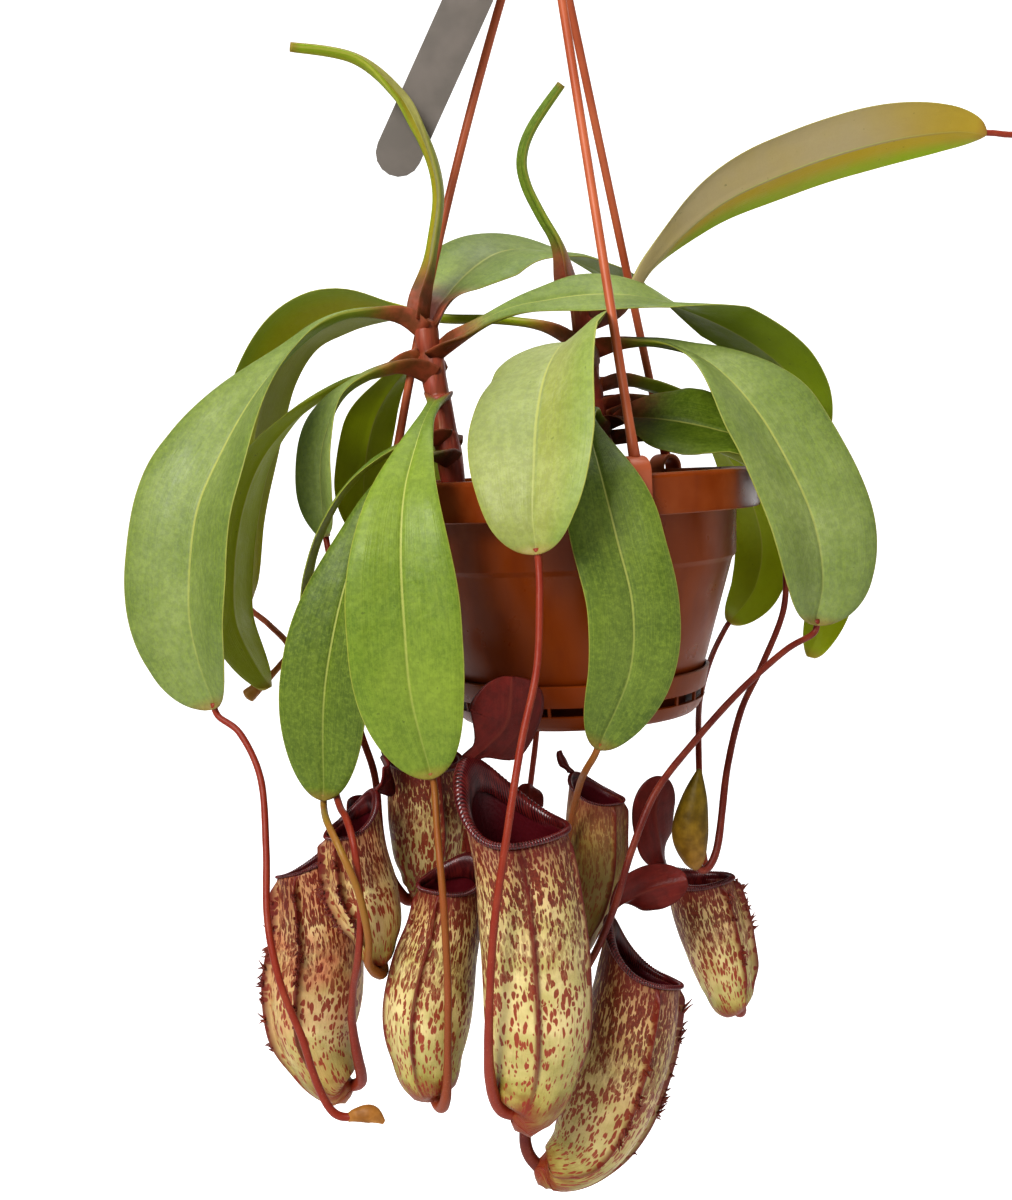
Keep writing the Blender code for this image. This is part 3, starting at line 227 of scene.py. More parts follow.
def joined(name, items):
    """Several mesh objects as one."""
    bpy.ops.object.select_all(action="DESELECT")
    for item in items:
        item.select_set(True)
    bpy.context.view_layer.objects.active = items[0]
    bpy.ops.object.join()
    items[0].name = name
    items[0].data.name = name
    return items[0]


def cross_frame(tangents, hint):
    """A side and an up vector for each tangent, carried along without twist."""
    up = square_to(tangents[0], hint)
    frames = []
    for tangent in tangents:
        up = square_to(tangent, up)
        frames.append((np.cross(tangent, up), up))
    return frames


def tube_rings(points, tangents, radii, sides):
    return [[point[:3] + radius * outward(side, up, angle) for angle in turns(sides)]
            for point, radius, (side, up) in zip(points, radii, cross_frame(tangents, RING_HINT))]


def turned(name, profile, steps):
    """A closed solid turned about the pot's axis from a closed profile of (radius, height)."""
    rings = [[(r * math.cos(a), r * math.sin(a), z) for r, z in profile + profile[:1]] for a in turns(steps)]
    rings.append(rings[0])
    item = ring_mesh(name, rings, caps=False, closed=False)
    mesh = bmesh.new()
    mesh.from_mesh(item.data)
    bmesh.ops.remove_doubles(mesh, verts=mesh.verts, dist=1e-6)
    bmesh.ops.recalc_face_normals(mesh, faces=mesh.faces)
    mesh.to_mesh(item.data)
    mesh.free()
    return item


def sharpen(item, degrees=40):
    """Keeps edges steeper than an angle crisp."""
    item.data.set_sharp_from_angle(angle=math.radians(degrees))
    return item


# Materials

class Nodes:
    """Adds nodes to one tree; each method returns the socket of its result."""

    def __init__(self, tree):
        self.tree = tree

    def node(self, kind, values=None, **settings):
        item = self.tree.nodes.new("ShaderNode" + kind)
        for key, value in settings.items():
            setattr(item, key, value)
        for key, value in (values or {}).items():
            if isinstance(value, bpy.types.NodeSocket):
                self.tree.links.new(value, item.inputs[key])
            else:
                item.inputs[key].default_value = value
        return item

    def maths(self, operation, a, b=0.0, c=0.0):
        return self.node("Math", {0: a, 1: b, 2: c}, operation=operation).outputs[0]

    def times(self, a, b):
        return self.maths("MULTIPLY", a, b)

    def plus(self, a, b):
        return self.maths("ADD", a, b)

    def step(self, value, low, high, most=1.0, least=0.0):
        """Least up to the low level, most from the high one, and an even rise between."""
        return self.node("MapRange", {0: value, 1: low, 2: high, 3: least, 4: most},
                         interpolation_type="SMOOTHSTEP").outputs[0]

    def scaled(self, vector, scale):
        return self.node("Mapping", {0: vector, 3: scale}).outputs[0]

    def noise(self, vector, scale, detail=3.0, roughness=0.55):
        return self.node("TexNoise", {"Vector": vector, "Scale": scale, "Detail": detail,
                                      "Roughness": roughness}).outputs[0]

    def clouds(self, vector, scale, detail, low, high, most=1.0, least=0.0, roughness=0.55):
        """Noise read between two levels."""
        return self.step(self.noise(vector, scale, detail, roughness), low, high, most, least)


class Paint(Nodes):
    def __init__(self, name, roughness=0.5, **sockets):
        self.material = bpy.data.materials.new(name)
        self.material.use_nodes = True
        super().__init__(self.material.node_tree)
        self.shader = self.tree.nodes["Principled BSDF"]
        self.shader.inputs["Roughness"].default_value = roughness
        for socket, value in sockets.items():
            self.shader.inputs[socket.replace("_", " ")].default_value = value
        self.colour = None

    def mix(self, share, a, b):
        colours = {6: a if isinstance(a, bpy.types.NodeSocket) else (*a, 1),
                   7: b if isinstance(b, bpy.types.NodeSocket) else (*b, 1), 0: share}
        return self.node("Mix", colours, data_type="RGBA").outputs[2]

    def base(self, share, a, b):
        self.colour = self.mix(share, a, b)

    def lay(self, share, colour):
        self.colour = self.mix(share, self.colour, colour)

    def value(self, name):
        return self.node("Attribute", attribute_name=name).outputs["Fac"]

    def vector(self, name):
        return self.node("Attribute", attribute_name=name).outputs["Vector"]

    def parts(self, vector):
        return self.node("SeparateXYZ", {0: vector}).outputs[:3]

    def place(self):
        """Position on the object, in metres."""
        return self.node("TexCoord").outputs["Object"]

    def bump(self, height, strength, distance=0.0005, normal=None):
        values = {"Height": height, "Strength": strength, "Distance": distance}
        if normal:
            values["Normal"] = normal
        return self.node("Bump", values).outputs[0]

    def grainy(self, vector, scale, detail, strength, distance):
        return self.bump(self.noise(vector, scale, detail), strength, distance)

    def finish(self, **sockets):
        if self.colour:
            sockets["Base_Color"] = self.colour
        for socket, value in sockets.items():
            self.tree.links.new(value, self.shader.inputs[socket.replace("_", " ")])
        return self.material


def moulded_plastic():
    """Red-brown pot plastic: soft gloss, faint mottling, a clouded painted highlight towards the rim."""
    paint = Paint("moulded_terracotta", 0.36, Specular_IOR_Level=0.2)
    spot = paint.place()
    paint.base(paint.clouds(spot, 14, 3, 0.3, 0.7), (0.155, 0.026, 0.001), (0.215, 0.042, 0.002))
    _, _, height = paint.parts(spot)
    # Painted highlight: lighter orange in clouded patches on the upper pot, towards the rim.
    rim_painted_highlight = paint.times(paint.step(height, -0.30, -0.262), paint.clouds(spot, 45, 4, 0.4, 0.75))
    paint.lay(paint.times(rim_painted_highlight, 0.4), (0.36, 0.11, 0.035))
    paint.lay(paint.clouds(paint.scaled(spot, (160, 160, 14)), 1.0, 4, 0.45, 0.8, 0.35), (0.12, 0.018, 0.003))
    return paint.finish(Roughness=paint.clouds(spot, 60, 4, 0.3, 0.75, 0.44, 0.26),
                        Normal=paint.grainy(spot, 900, 2, 0.12, 0.0002))


def simple_skin(name, roughness, clouds, a, b, grain=(), **sockets):
    """One colour clouding into another, with an optional fine grain."""
    paint = Paint(name, roughness, **sockets)
    spot = paint.place()
    paint.base(paint.clouds(spot, *clouds), a, b)
    return paint.finish(**({"Normal": paint.grainy(spot, *grain)} if grain else {}))


def leaf_skin():
    """Leathery leaf: share holds (across -1..1, along 0..1, under 0..1), tone is dark 0 to fresh 1."""
    paint = Paint("leaf_dressed", 0.42, Specular_IOR_Level=0.3)
    share = paint.vector("share")
    across, along, under = paint.parts(share)
    tone = paint.value("tone")
    spot = paint.place()
    off = paint.maths("ABSOLUTE", across)
    blotch = paint.clouds(spot, 26, 4, 0.28, 0.72)
    dark = paint.mix(blotch, (0.036, 0.066, 0.004), (0.080, 0.122, 0.010))
    fresh = paint.mix(blotch, (0.095, 0.175, 0.001), (0.185, 0.270, 0.004))
    paint.base(tone, dark, fresh)
    pale = paint.times(paint.value("pale"), paint.step(off, 1.25, 0.0, 1.0, 0.55))
    paint.lay(pale, paint.mix(blotch, (0.27, 0.33, 0.12), (0.43, 0.48, 0.22)))
    for scale, detail, low, high, most, tint in ((260, 5, 0.3, 0.7, 0.12, (0.30, 0.38, 0.05)),
                                                 (420, 5, 0.62, 0.4, 0.24, (0.022, 0.045, 0.003)),
                                                 (780, 3, 0.4, 0.75, 0.35, (0.24, 0.32, 0.04))):
        paint.lay(paint.clouds(spot, scale, detail, low, high, most, roughness=0.7), tint)
    grain = paint.noise(paint.scaled(share, (34, 2.5, 1)), 1.0, 3)
    paint.lay(paint.step(grain, 0.4, 0.75, 0.14), (0.30, 0.36, 0.04))
    # The bronze of young leaves is their own colour. The different colours of the blade's two halves are
    # painted light and shade.
    young = paint.value("bronze")
    near = paint.mix(paint.step(off, 0.25, 0.95), (0.46, 0.30, 0.002), (0.27, 0.38, 0.002))
    far = paint.mix(paint.step(along, 0.68, 0.96), (0.35, 0.26, 0.16), (0.36, 0.22, 0.012))
    halves_light_and_shade = paint.mix(paint.step(across, -0.10, -0.04), near, far)
    paint.lay(young, paint.mix(paint.step(blotch, 0.0, 1.0, 0.35), halves_light_and_shade, (0.36, 0.24, 0.05)))
    backlit = paint.mix(tone, (0.12, 0.18, 0.004), (0.31, 0.37, 0.001))
    grown = paint.maths("SUBTRACT", 1.0, young)
    paint.lay(paint.times(paint.times(under, grown), 0.8), backlit)
    paint.lay(paint.clouds(spot, 420, 2, 0.7, 0.78, 0.4), (0.03, 0.042, 0.009))
    rib = paint.times(paint.step(off, 0.034, 0.008), paint.step(along, 1.0, 0.55, 0.65, 0.2))
    paint.lay(rib, (0.42, 0.42, 0.11))
    paint.lay(paint.times(paint.step(off, 0.972, 0.99), 0.5), (0.36, 0.34, 0.06))
    rosy = paint.mix(paint.clouds(spot, 150, 3, 0.35, 0.7), (0.13, 0.022, 0.010), (0.30, 0.050, 0.030))
    paint.lay(paint.step(paint.value("foot"), 0.0, 1.0, 0.9), rosy)
    paint.lay(paint.times(paint.step(along, 0.97, 1.0), 0.5), (0.26, 0.10, 0.02))
    height = paint.plus(paint.noise(spot, 300, 3), paint.times(grain, 0.6))
    return paint.finish(Roughness=paint.clouds(spot, 90, 3, 0.3, 0.7, 0.55, 0.4),
                        Normal=paint.bump(height, 0.45, 0.0004, paint.grainy(spot, 55, 3, 0.35, 0.0016)))


def stem_skin():
    """Rosy stem with greenish patches and fine lengthwise lines; tone is 1 on the clasping leaf feet."""
    paint = Paint("stem_dressed", 0.42, Specular_IOR_Level=0.3)
    spot = paint.place()
    paint.base(paint.clouds(spot, 60, 3, 0.35, 0.7), (0.24, 0.028, 0.018), (0.16, 0.050, 0.012))
    paint.lay(paint.times(paint.value("tone"), 0.6), (0.40, 0.085, 0.05))
    lines = paint.noise(paint.scaled(spot, (900, 900, 90)), 1.0, 2)
    paint.lay(paint.step(lines, 0.45, 0.8, 0.45), (0.10, 0.024, 0.014))
    paint.lay(paint.clouds(paint.scaled(spot, (500, 500, 60)), 1.0, 3, 0.55, 0.8, 0.5), (0.50, 0.30, 0.16))
    return paint.finish(Normal=paint.bump(lines, 0.35, 0.0004))


def tendril_skin():
    """Red to yellow-green stalk with a slight down: tone 0 dark red, 0.5 red, 1 yellow-green."""
    paint = Paint("tendril_dressed", 0.45, Specular_IOR_Level=0.3)
    spot = paint.place()
    tone = paint.value("tone")
    paint.base(paint.step(tone, 0.0, 0.5), (0.065, 0.006, 0.005), (0.22, 0.022, 0.008))
    paint.lay(paint.step(tone, 0.5, 1.0), (0.26, 0.17, 0.02))
    paint.lay(paint.times(paint.clouds(spot, 110, 3, 0.35, 0.75), 0.4), (0.30, 0.065, 0.026))
    down = paint.noise(spot, 1500, 2)
    paint.lay(paint.step(down, 0.6, 0.75, 0.3), (0.38, 0.17, 0.08))
    return paint.finish(Normal=paint.bump(down, 0.4, 0.0003))


def speckles():
    """A node group: elongated maroon blotches over a skin position in millimetres, denser by a share."""
    group = bpy.data.node_groups.new("speckles", "ShaderNodeTree")
    for name, way, kind in (("Skin", "INPUT", "Vector"), ("Density", "INPUT", "Float"),
                            ("Mask", "OUTPUT", "Float")):
        group.interface.new_socket(name, in_out=way, socket_type="NodeSocket" + kind)
    start = group.nodes.new("NodeGroupInput")
    end = group.nodes.new("NodeGroupOutput")
    marks = Nodes(group)
    long = marks.scaled(start.outputs["Skin"], (1.0, 1.0, 0.36))
    wobble = marks.node("TexNoise", {"Vector": long, "Scale": 0.6, "Detail": 1.5}).outputs[1]
    shift = marks.node("VectorMath", {0: wobble, 1: (1.5, 1.5, 1.5)}, operation="MULTIPLY").outputs[0]
    moved = marks.node("VectorMath", {0: long, 1: shift}, operation="ADD").outputs[0]
    cells = marks.node("TexVoronoi", {"Vector": moved, "Scale": 0.84}, feature="F1")
    size = marks.node("SeparateXYZ", {0: cells.outputs["Color"]}).outputs[0]
    reach = marks.node("MapRange", {0: size, 1: 0.0, 2: 1.0, 3: -0.22, 4: 0.24}).outputs[0]
    gap = marks.maths("SUBTRACT", marks.plus(start.outputs["Density"], reach), cells.outputs["Distance"])
    group.links.new(marks.step(gap, -0.06, 0.09), end.inputs["Mask"])
    return group


SPECKLES = speckles()


def pitcher_skin():
    """Cream-green jug with maroon streaks denser to the mouth. Painted shade darkens its inside, and extra
    speckles darken the jugs that hang in shade. share holds (ridge, along, inside).
    """
    paint = Paint("pitcher_dressed", 0.4, Specular_IOR_Level=0.28, Subsurface_Weight=0.04,
                  Subsurface_Scale=0.002)
    skin = paint.vector("skin")
    ridge, along, inside = paint.parts(paint.vector("share"))
    flush, tan, dark = paint.parts(paint.vector("cast"))
    soft = paint.clouds(skin, 0.12, 4, 0.3, 0.7)
    cream = paint.mix(soft, (0.46, 0.40, 0.14), (0.68, 0.57, 0.27))
    olive = paint.mix(soft, (0.23, 0.21, 0.030), (0.38, 0.33, 0.075))
    paint.base(paint.step(along, 0.42, 0.06), cream, olive)
    rosy = paint.times(paint.clouds(skin, 0.09, 3, 0.25, 0.75, 0.9, 0.1), flush)
    paint.lay(paint.times(rosy, paint.step(along, 0.15, 0.85, 1.0, 0.3)), (0.50, 0.12, 0.07))
    paint.lay(tan, (0.23, 0.14, 0.022))
    paint.lay(paint.times(paint.step(along, 0.7, 1.0), 0.5), (0.42, 0.14, 0.07))
    veins = paint.noise(paint.scaled(skin, (1.2, 1.2, 0.1)), 1.0, 3)
    paint.lay(paint.step(veins, 0.5, 0.8, 0.4), (0.26, 0.14, 0.035))
    patchy = paint.clouds(skin, 0.16, 3, 0.25, 0.75, 0.08, -0.08)
    # Speckles grow denser towards the mouth and in patches. The extra share per jug is painted shade: more
    # maroon speckles on jugs that hang in shade.
    density = paint.plus(paint.step(along, 0.1, 1.0, 0.60, 0.32), paint.plus(patchy, paint.value("shade_by_speckles")))
    masks = []
    for spots, levels in ((skin, (0.85, 0.5)), (paint.scaled(skin, (1.5, 1.5, 1.3)), (0.5, 0.85))):
        marks = paint.node("Group", node_tree=SPECKLES)
        paint.tree.links.new(spots, marks.inputs["Skin"])
        paint.tree.links.new(density, marks.inputs["Density"])
        masks.append(paint.times(marks.outputs["Mask"], paint.step(along, *levels)))
    maroon = paint.mix(paint.clouds(skin, 1.3, 3, 0.3, 0.7), (0.10, 0.006, 0.004), (0.19, 0.022, 0.010))
    maroon = paint.mix(paint.step(along, 0.75, 0.35), maroon, (0.27, 0.032, 0.014))
    paint.lay(paint.times(paint.plus(*masks), paint.step(tan, 0.0, 1.0, 0.55, 0.95)), maroon)
    band = paint.times(paint.step(along, 0.86, 1.0), paint.step(flush, 0.2, 1.0, 0.1, 0.6))
    paint.lay(band, (0.13, 0.016, 0.012))
    paint.lay(paint.times(ridge, 0.92), (0.13, 0.012, 0.007))
    foot = paint.step(paint.plus(along, paint.step(soft, 0.0, 1.0, 0.03, -0.03)), 0.17, 0.01)
    paint.lay(paint.times(foot, 0.9), (0.22, 0.024, 0.009))
    # Painted shade inside the jug: the inner wall is darkened to near-black maroon, as far as each jug's dark
    # share says.
    paint.lay(paint.times(inside, paint.step(dark, 0.0, 0.9, 1.0, 0.15)), (0.080, 0.004, 0.008))
    height = paint.plus(paint.noise(skin, 0.9, 4), paint.times(veins, 0.7))
    return paint.finish(Normal=paint.bump(height, 0.4, 0.0006))


def lip_skin():
    """Dark wine-red lip with a gloss; share holds (rib, across the lip, 0)."""
    paint = Paint("lip_dressed", 0.28, Specular_IOR_Level=0.45, Coat_Weight=0.15, Coat_Roughness=0.2)
    rib, across, _ = paint.parts(paint.vector("share"))
    paint.base(paint.step(rib, -0.6, 0.9), (0.022, 0.002, 0.003), (0.12, 0.010, 0.011))
    paint.lay(paint.clouds(paint.vector("skin"), 0.35, 2, 0.4, 0.75, 0.5), (0.18, 0.022, 0.016))
    paint.lay(paint.step(across, 0.22, 0.0, 0.5), (0.28, 0.07, 0.03))
    return paint.finish()


def lid_skin():
    """Plain maroon lid, a little paler below; share holds (across, along, under)."""
    paint = Paint("lid_dressed", 0.38, Specular_IOR_Level=0.16)
    across, _, under = paint.parts(paint.vector("share"))
    skin = paint.vector("skin")
    paint.base(paint.clouds(skin, 0.3, 3, 0.3, 0.7), (0.050, 0.001, 0.003), (0.105, 0.005, 0.006))
    veins = paint.clouds(paint.scaled(skin, (0.9, 0.9, 0.12)), 1.0, 3, 0.5, 0.75, 0.4)
    paint.lay(veins, (0.15, 0.022, 0.012))
    paint.lay(paint.step(paint.maths("ABSOLUTE", across), 0.07, 0.02, 0.4), (0.17, 0.03, 0.015))
    paint.lay(paint.times(under, 0.3), (0.17, 0.035, 0.02))
    return paint.finish(Normal=paint.grainy(skin, 1.2, 3, 0.3, 0.0005))


def bud_skin():
    """Olive bud; tone 1 is dried and tan."""
    paint = Paint("bud_dressed", 0.45, Specular_IOR_Level=0.2)
    spot = paint.place()
    soft = paint.clouds(spot, 160, 3, 0.3, 0.7)
    green = paint.mix(soft, (0.075, 0.048, 0.001), (0.17, 0.11, 0.004))
    dry = paint.mix(soft, (0.22, 0.085, 0.015), (0.44, 0.20, 0.045))
    paint.base(paint.value("tone"), green, dry)
    return paint.finish(Normal=paint.grainy(spot, 700, 3, 0.4, 0.0004))


POT_PLASTIC = moulded_plastic()
ROD_PLASTIC = simple_skin("hanger_plastic", 0.42, (30, 2, 0.3, 0.7), (0.33, 0.070, 0.024),
                          (0.46, 0.125, 0.05), (700, 2, 0.15, 0.0002), Specular_IOR_Level=0.35)
PEAT = simple_skin("damp_peat", 0.9, (420, 4, 0.35, 0.7), (0.006, 0.004, 0.003), (0.05, 0.026, 0.013),
                   (900, 4, 0.9, 0.001))
FIBRE = simple_skin("bark_fibre", 0.85, (160, 2, 0.35, 0.65), (0.016, 0.009, 0.006), (0.11, 0.055, 0.026))
LEAF_SKIN = leaf_skin()
STEM_SKIN = stem_skin()
TENDRIL_SKIN = tendril_skin()
PITCHER_SKIN = pitcher_skin()
LIP_SKIN = lip_skin()
LID_SKIN = lid_skin()
BUD_SKIN = bud_skin()
LABEL_FACE = simple_skin("label_dressed", 0.38, (90, 2, 0.3, 0.7), (0.105, 0.088, 0.072),
                         (0.13, 0.108, 0.090), (500, 2, 0.08, 0.0002))


# The plant, as in the CAD source

STEMS = {
    "stem_left": dict(
        points=[(-42, -9, -SOIL_DEPTH - STEM_SINK), (-43, -8, 5), (-46, -5, 28), (-49, -3, 48),
                (-50, -2, 60)],
        radii=(5.0, 4.8, 4.4, 3.8)),
    "stem_right": dict(
        points=[(14, 9, -SOIL_DEPTH - STEM_SINK), (13, 10, 8), (10, 12, 34), (8, 12, 58), (7, 12, 68)],
        radii=(5.0, 4.8, 4.4, 3.8)),
}

LEAVES = {
    "leaf_young_left": dict(
        stem="stem_left", half=3.2, petiole=0, widen=0.2, tip=0.4, fold=35, young=True, crown=True,
        tone=0.7, bronze=0.5, wave=0.02,
        spine=[(-50, -2, 60), (-46, -3, 82), (-42, -7, 104), (-46, -13, 122), (-55, -17, 136),
            (-69, -22, 148), (-90, -30, 151)],
        facing=[(-1, -0.6, 0.2), (-1, -0.6, 0.3), (-0.6, -0.6, 1), (0, -0.5, 1)]),
    "leaf_back_centre": dict(
        stem="stem_left", half=20, petiole=0.05, widen=0.3, tone=0.3, pale=0.3,
        spine=[(-48, 4, 55), (-40, 14, 72), (-22, 32, 87), (-1, 44, 88), (19, 55, 81), (38, 62, 70)],
        facing=[(-0.3, -0.6, 0.8), (0, -0.6, 0.8), (0.2, -0.2, 1), (0.8, 0.3, 0.7)]),
    "leaf_far_left": dict(
        stem="stem_right", half=17, petiole=0.27, widen=0.2, tone=0.9, bronze=0.5,
        spine=[(8, 12, 47), (-6, 17, 56), (-22, 22, 60), (-44, 27, 62), (-64, 31, 66), (-84, 33, 67),
            (-102, 34, 60), (-115, 34, 42), (-123, 34, 16), (-129, 34, -14), (-128, 34, -44)],
        facing=[(0, 0, 1), (0, 0.3, 1), (-0.1, 0.5, 0.9), (-0.5, 0.55, 0.7), (-0.8, 0.55, 0.3),
            (-0.9, 0.5, 0)]),
    "leaf_big_left": dict(
        stem="stem_left", half=27.5, petiole=0.14, widen=0.46, fold=27, tone=0.15, pale=0.5,
        spine=[(-50, 1, 53), (-60, -4, 60), (-74, -10, 62), (-86, -16, 58), (-98, -22, 48), (-111, -28, 33),
            (-123, -33, 13), (-132, -37, -8), (-136, -40, -38), (-134, -40, -58), (-129, -40, -75)],
        facing=[(0, 0, 1), (-0.1, -0.1, 1), (-0.45, -0.6, 0.5), (-0.55, -0.83, 0.1), (-0.6, -0.8, -0.1)]),
    "leaf_left_under": dict(
        stem="stem_left", half=17, petiole=0.2, tone=1.0,
        spine=[(-50, 1, 44), (-63, 4, 42), (-82, 7, 38), (-100, 9, 28), (-115, 10, 13), (-124, 10, -6),
            (-129, 10, -30), (-129, 9, -52), (-118, 8, -76)],
        facing=[(0, 0, 1), (0, 0.1, 1), (-0.7, 0.3, 0.6), (-0.9, 0.35, 0), (-0.9, 0.35, -0.1)]),
    "leaf_left_inner": dict(
        stem="stem_left", half=15, petiole=0.2, fold=22, tone=0.25, pale=0.7,
        spine=[(-47, -5, 36), (-59, -12, 41), (-71, -15, 39), (-82, -15, 31), (-89, -14, 16), (-91, -13, 0),
            (-90, -12, -18)],
        facing=[(0, 0, 1), (-0.2, -0.2, 1), (-0.75, -0.55, 0.5), (-0.8, -0.6, 0)]),
    "leaf_left_back": dict(
        stem="stem_left", half=13, petiole=0.2, tone=0.9,
        spine=[(-49, 1, 38), (-51, 13, 43), (-61, 27, 43), (-74, 36, 26), (-80, 38, 2), (-80, 38, -22)],
        facing=[(0, 0, 1), (-0.2, 0.3, 1), (-0.6, 0.8, 0.4), (-0.6, 0.8, 0)]),
    "leaf_left_low": dict(
        stem="stem_left", half=11, petiole=0.15, tone=0.5,
        spine=[(-44, -7, 14), (-55, -20, 14), (-68, -30, 9), (-80, -36, -2), (-88, -40, -16),
            (-93, -42, -31), (-95, -42, -41)],
        facing=[(0, 0, 1), (-0.3, 0, 1), (-0.8, 0, 0.6), (-0.95, 0.1, 0)]),
    "leaf_front_left": dict(
        stem="stem_left", half=16, petiole=0.25, widen=0.45, tone=0.1,
        spine=[(-43, -8, 6), (-52, -36, 9), (-66, -58, -2), (-77, -66, -28), (-84, -68, -52),
            (-88, -67, -74), (-90, -63, -104)],
        facing=[(0, 0, 1), (-0.2, -0.4, 1), (-0.35, -0.9, 0.2), (-0.25, -0.95, 0), (-0.2, -0.95, -0.1)]),
    "leaf_front_bright": dict(
        stem="stem_left", half=19, petiole=0.2, widen=0.5, tone=0.7, pale=0.1,
        spine=[(-45, -6, 28), (-47, -32, 27), (-51, -58, 17), (-56, -76, 0), (-58, -84, -20),
            (-58, -87, -44), (-57, -87, -68), (-52, -84, -94)],
        facing=[(0, 0, 1), (0, -0.3, 1), (-0.1, -0.9, 0.5), (-0.1, -1, 0), (-0.1, -1, -0.1)]),
    "leaf_front_centre": dict(
        stem="stem_right", half=23.5, petiole=0.14, widen=0.32, tip=0.32, fold=19, tone=0.4, bronze=0.15,
        pale=0.85,
        spine=[(10, 8, 38), (8, -8, 45), (3, -27, 47), (-3, -46, 44), (-9, -65, 34), (-13, -79, 19),
            (-15, -89, 1), (-16, -93, -12), (-15, -93, -23)],
        facing=[(0, 0, 1), (-0.35, -0.2, 1), (-0.6, -0.45, 0.7), (-0.4, -0.9, 0.25), (-0.3, -0.95, 0)]),
    "leaf_over_right": dict(
        stem="stem_left", half=17, petiole=0.12, widen=0.35, tone=0.35, pale=0.3,
        spine=[(-48, -2, 44), (-37, -10, 51), (-25, -12, 58), (-8, -12, 63), (15, -9, 65), (37, -4, 62),
            (60, 4, 53), (79, 10, 41), (92, 13, 27), (99, 13, 12)],
        facing=[(0, -0.4, 1), (0, -0.7, 0.75), (0, -0.65, 0.8), (0.1, -0.35, 0.95), (0.3, 0.35, 0.9),
            (0.5, 0.45, 0.7), (0.8, 0.4, 0.4)]),
    "leaf_big_right": dict(
        stem="stem_right", half=25.5, petiole=0.14, widen=0.38, fold=22, tone=0.15, pale=0.6,
        spine=[(10, 11, 43), (23, 2, 47), (36, -7, 46), (52, -16, 38), (67, -23, 20), (78, -28, -2),
            (85, -31, -22), (87, -32, -41), (84, -31, -57)],
        facing=[(0, 0, 1), (0.1, -0.3, 1), (0.45, -0.75, 0.4), (0.5, -0.85, 0.1), (0.45, -0.9, 0)]),
    "leaf_up_right": dict(
        stem="stem_right", half=15, petiole=0.08, widen=0.45, tip=0.3, fold=24, young=True, tone=0.8,
        bronze=0.9,
        spine=[(8, 12, 55), (24, 17, 61), (37, 20, 79), (63, 23, 100), (95, 25, 113), (126, 27, 121),
            (152, 29, 124), (168, 30, 123)],
        facing=[(-0.4, 0.4, 1), (-0.4, 0.9, 0.8), (-0.3, 1, 0.8), (0, 1, 0.8)]),
    "leaf_young_right": dict(
        stem="stem_right", half=2.6, petiole=0, widen=0.2, tip=0.4, fold=35, young=True, crown=True,
        tone=0.4, wave=0.02,
        spine=[(7, 12, 68), (2, 10, 84), (-5, 8, 97), (-10, 6, 108), (-11, 4, 117), (-7, 2, 127),
            (4, -2, 141)],
        facing=[(-1, -0.6, 0.2), (-1, -0.6, 0.2), (-0.7, -0.7, 0.4), (-0.5, -0.7, 0.6)]),
    "leaf_right_inner": dict(
        stem="stem_right", half=17.5, petiole=0.08, widen=0.35, tone=0.25,
        spine=[(13, 10, 16), (25, -1, 20), (39, -9, 18), (54, -13, 14), (67, -18, 9), (76, -20, -3)],
        facing=[(0, 0, 1), (0, -0.7, 0.7), (0.1, -0.75, 0.65), (0.35, -0.55, 0.75), (0.7, -0.5, 0.5)]),
    "leaf_right_small": dict(
        stem="stem_right", half=5, petiole=0.1, tone=0.8, bronze=0.2,
        facing=[(0, 0, 1), (0.1, 0.4, 1), (0.4, 0.4, 0.8)],
        spine=[(11, 12, 32), (26, 24, 34), (42, 33, 30), (60, 40, 21)]),
    "leaf_right_dark": dict(
        stem="stem_right", half=9, petiole=0.2, tone=0.0,
        spine=[(13, 10, 24), (32, 20, 27), (50, 24, 22), (66, 24, 11), (77, 22, -3), (83, 20, -20)],
        facing=[(0, 0, 1), (0.1, 0, 1), (0.6, -0.3, 0.7), (0.9, -0.3, 0.1)]),
    "leaf_back_right": dict(
        stem="stem_right", half=13, petiole=0.3, tone=0.9,
        spine=[(13, 11, 20), (36, 30, 25), (58, 52, 17), (76, 67, -6), (84, 71, -32), (80, 68, -52),
            (68, 64, -66)],
        facing=[(0, 0, 1), (0, 0.2, 1), (0.6, 0.7, 0.4), (0.5, 0.85, 0), (0.4, 0.9, -0.2)]),
    "leaf_back_low": dict(
        stem="stem_right", half=13, petiole=0.3, tone=0.95,
        spine=[(14, 10, 12), (48, 36, 12), (78, 40, -2), (97, 34, -26), (103, 30, -50), (94, 27, -77)],
        facing=[(0, 0, 1), (0.1, 0.2, 1), (0.8, 0.5, 0.3), (0.8, 0.6, 0)]),
    "leaf_front_right": dict(
        stem="stem_right", half=15.5, petiole=0.3, widen=0.3, tone=0.15, pale=0.08,
        spine=[(13, 8, 12), (9, -22, 22), (5, -50, 18), (7, -72, 2), (11, -80, -20), (15, -82, -42),
            (13, -82, -64), (2, -79, -88)],
        facing=[(0, 0, 1), (0, -0.2, 1), (0.1, -0.9, 0.4), (0.15, -1, 0), (0.1, -1, -0.1)]),
    "leaf_back_left": dict(
        stem="stem_left", half=14, petiole=0.35, tone=0.7,
        spine=[(-43, -8, 10), (-44, 20, 17), (-49, 46, 20), (-56, 68, 8), (-61, 78, -16), (-62, 77, -44)],
        facing=[(0, 0, 1), (0, 0.2, 1), (-0.3, 0.9, 0.4), (-0.4, 0.95, 0)]),
    "leaf_back_middle": dict(
        stem="stem_right", half=17, petiole=0.25, tone=0.5, pale=0.15,
        spine=[(11, 12, 28), (6, 38, 34), (-2, 62, 28), (-8, 80, 6), (-12, 86, -24), (-14, 82, -56)],
        facing=[(0, 0, 1), (0, 0.3, 1), (0, 0.9, 0.5), (0, 1, 0), (0, 1, -0.2)]),
}

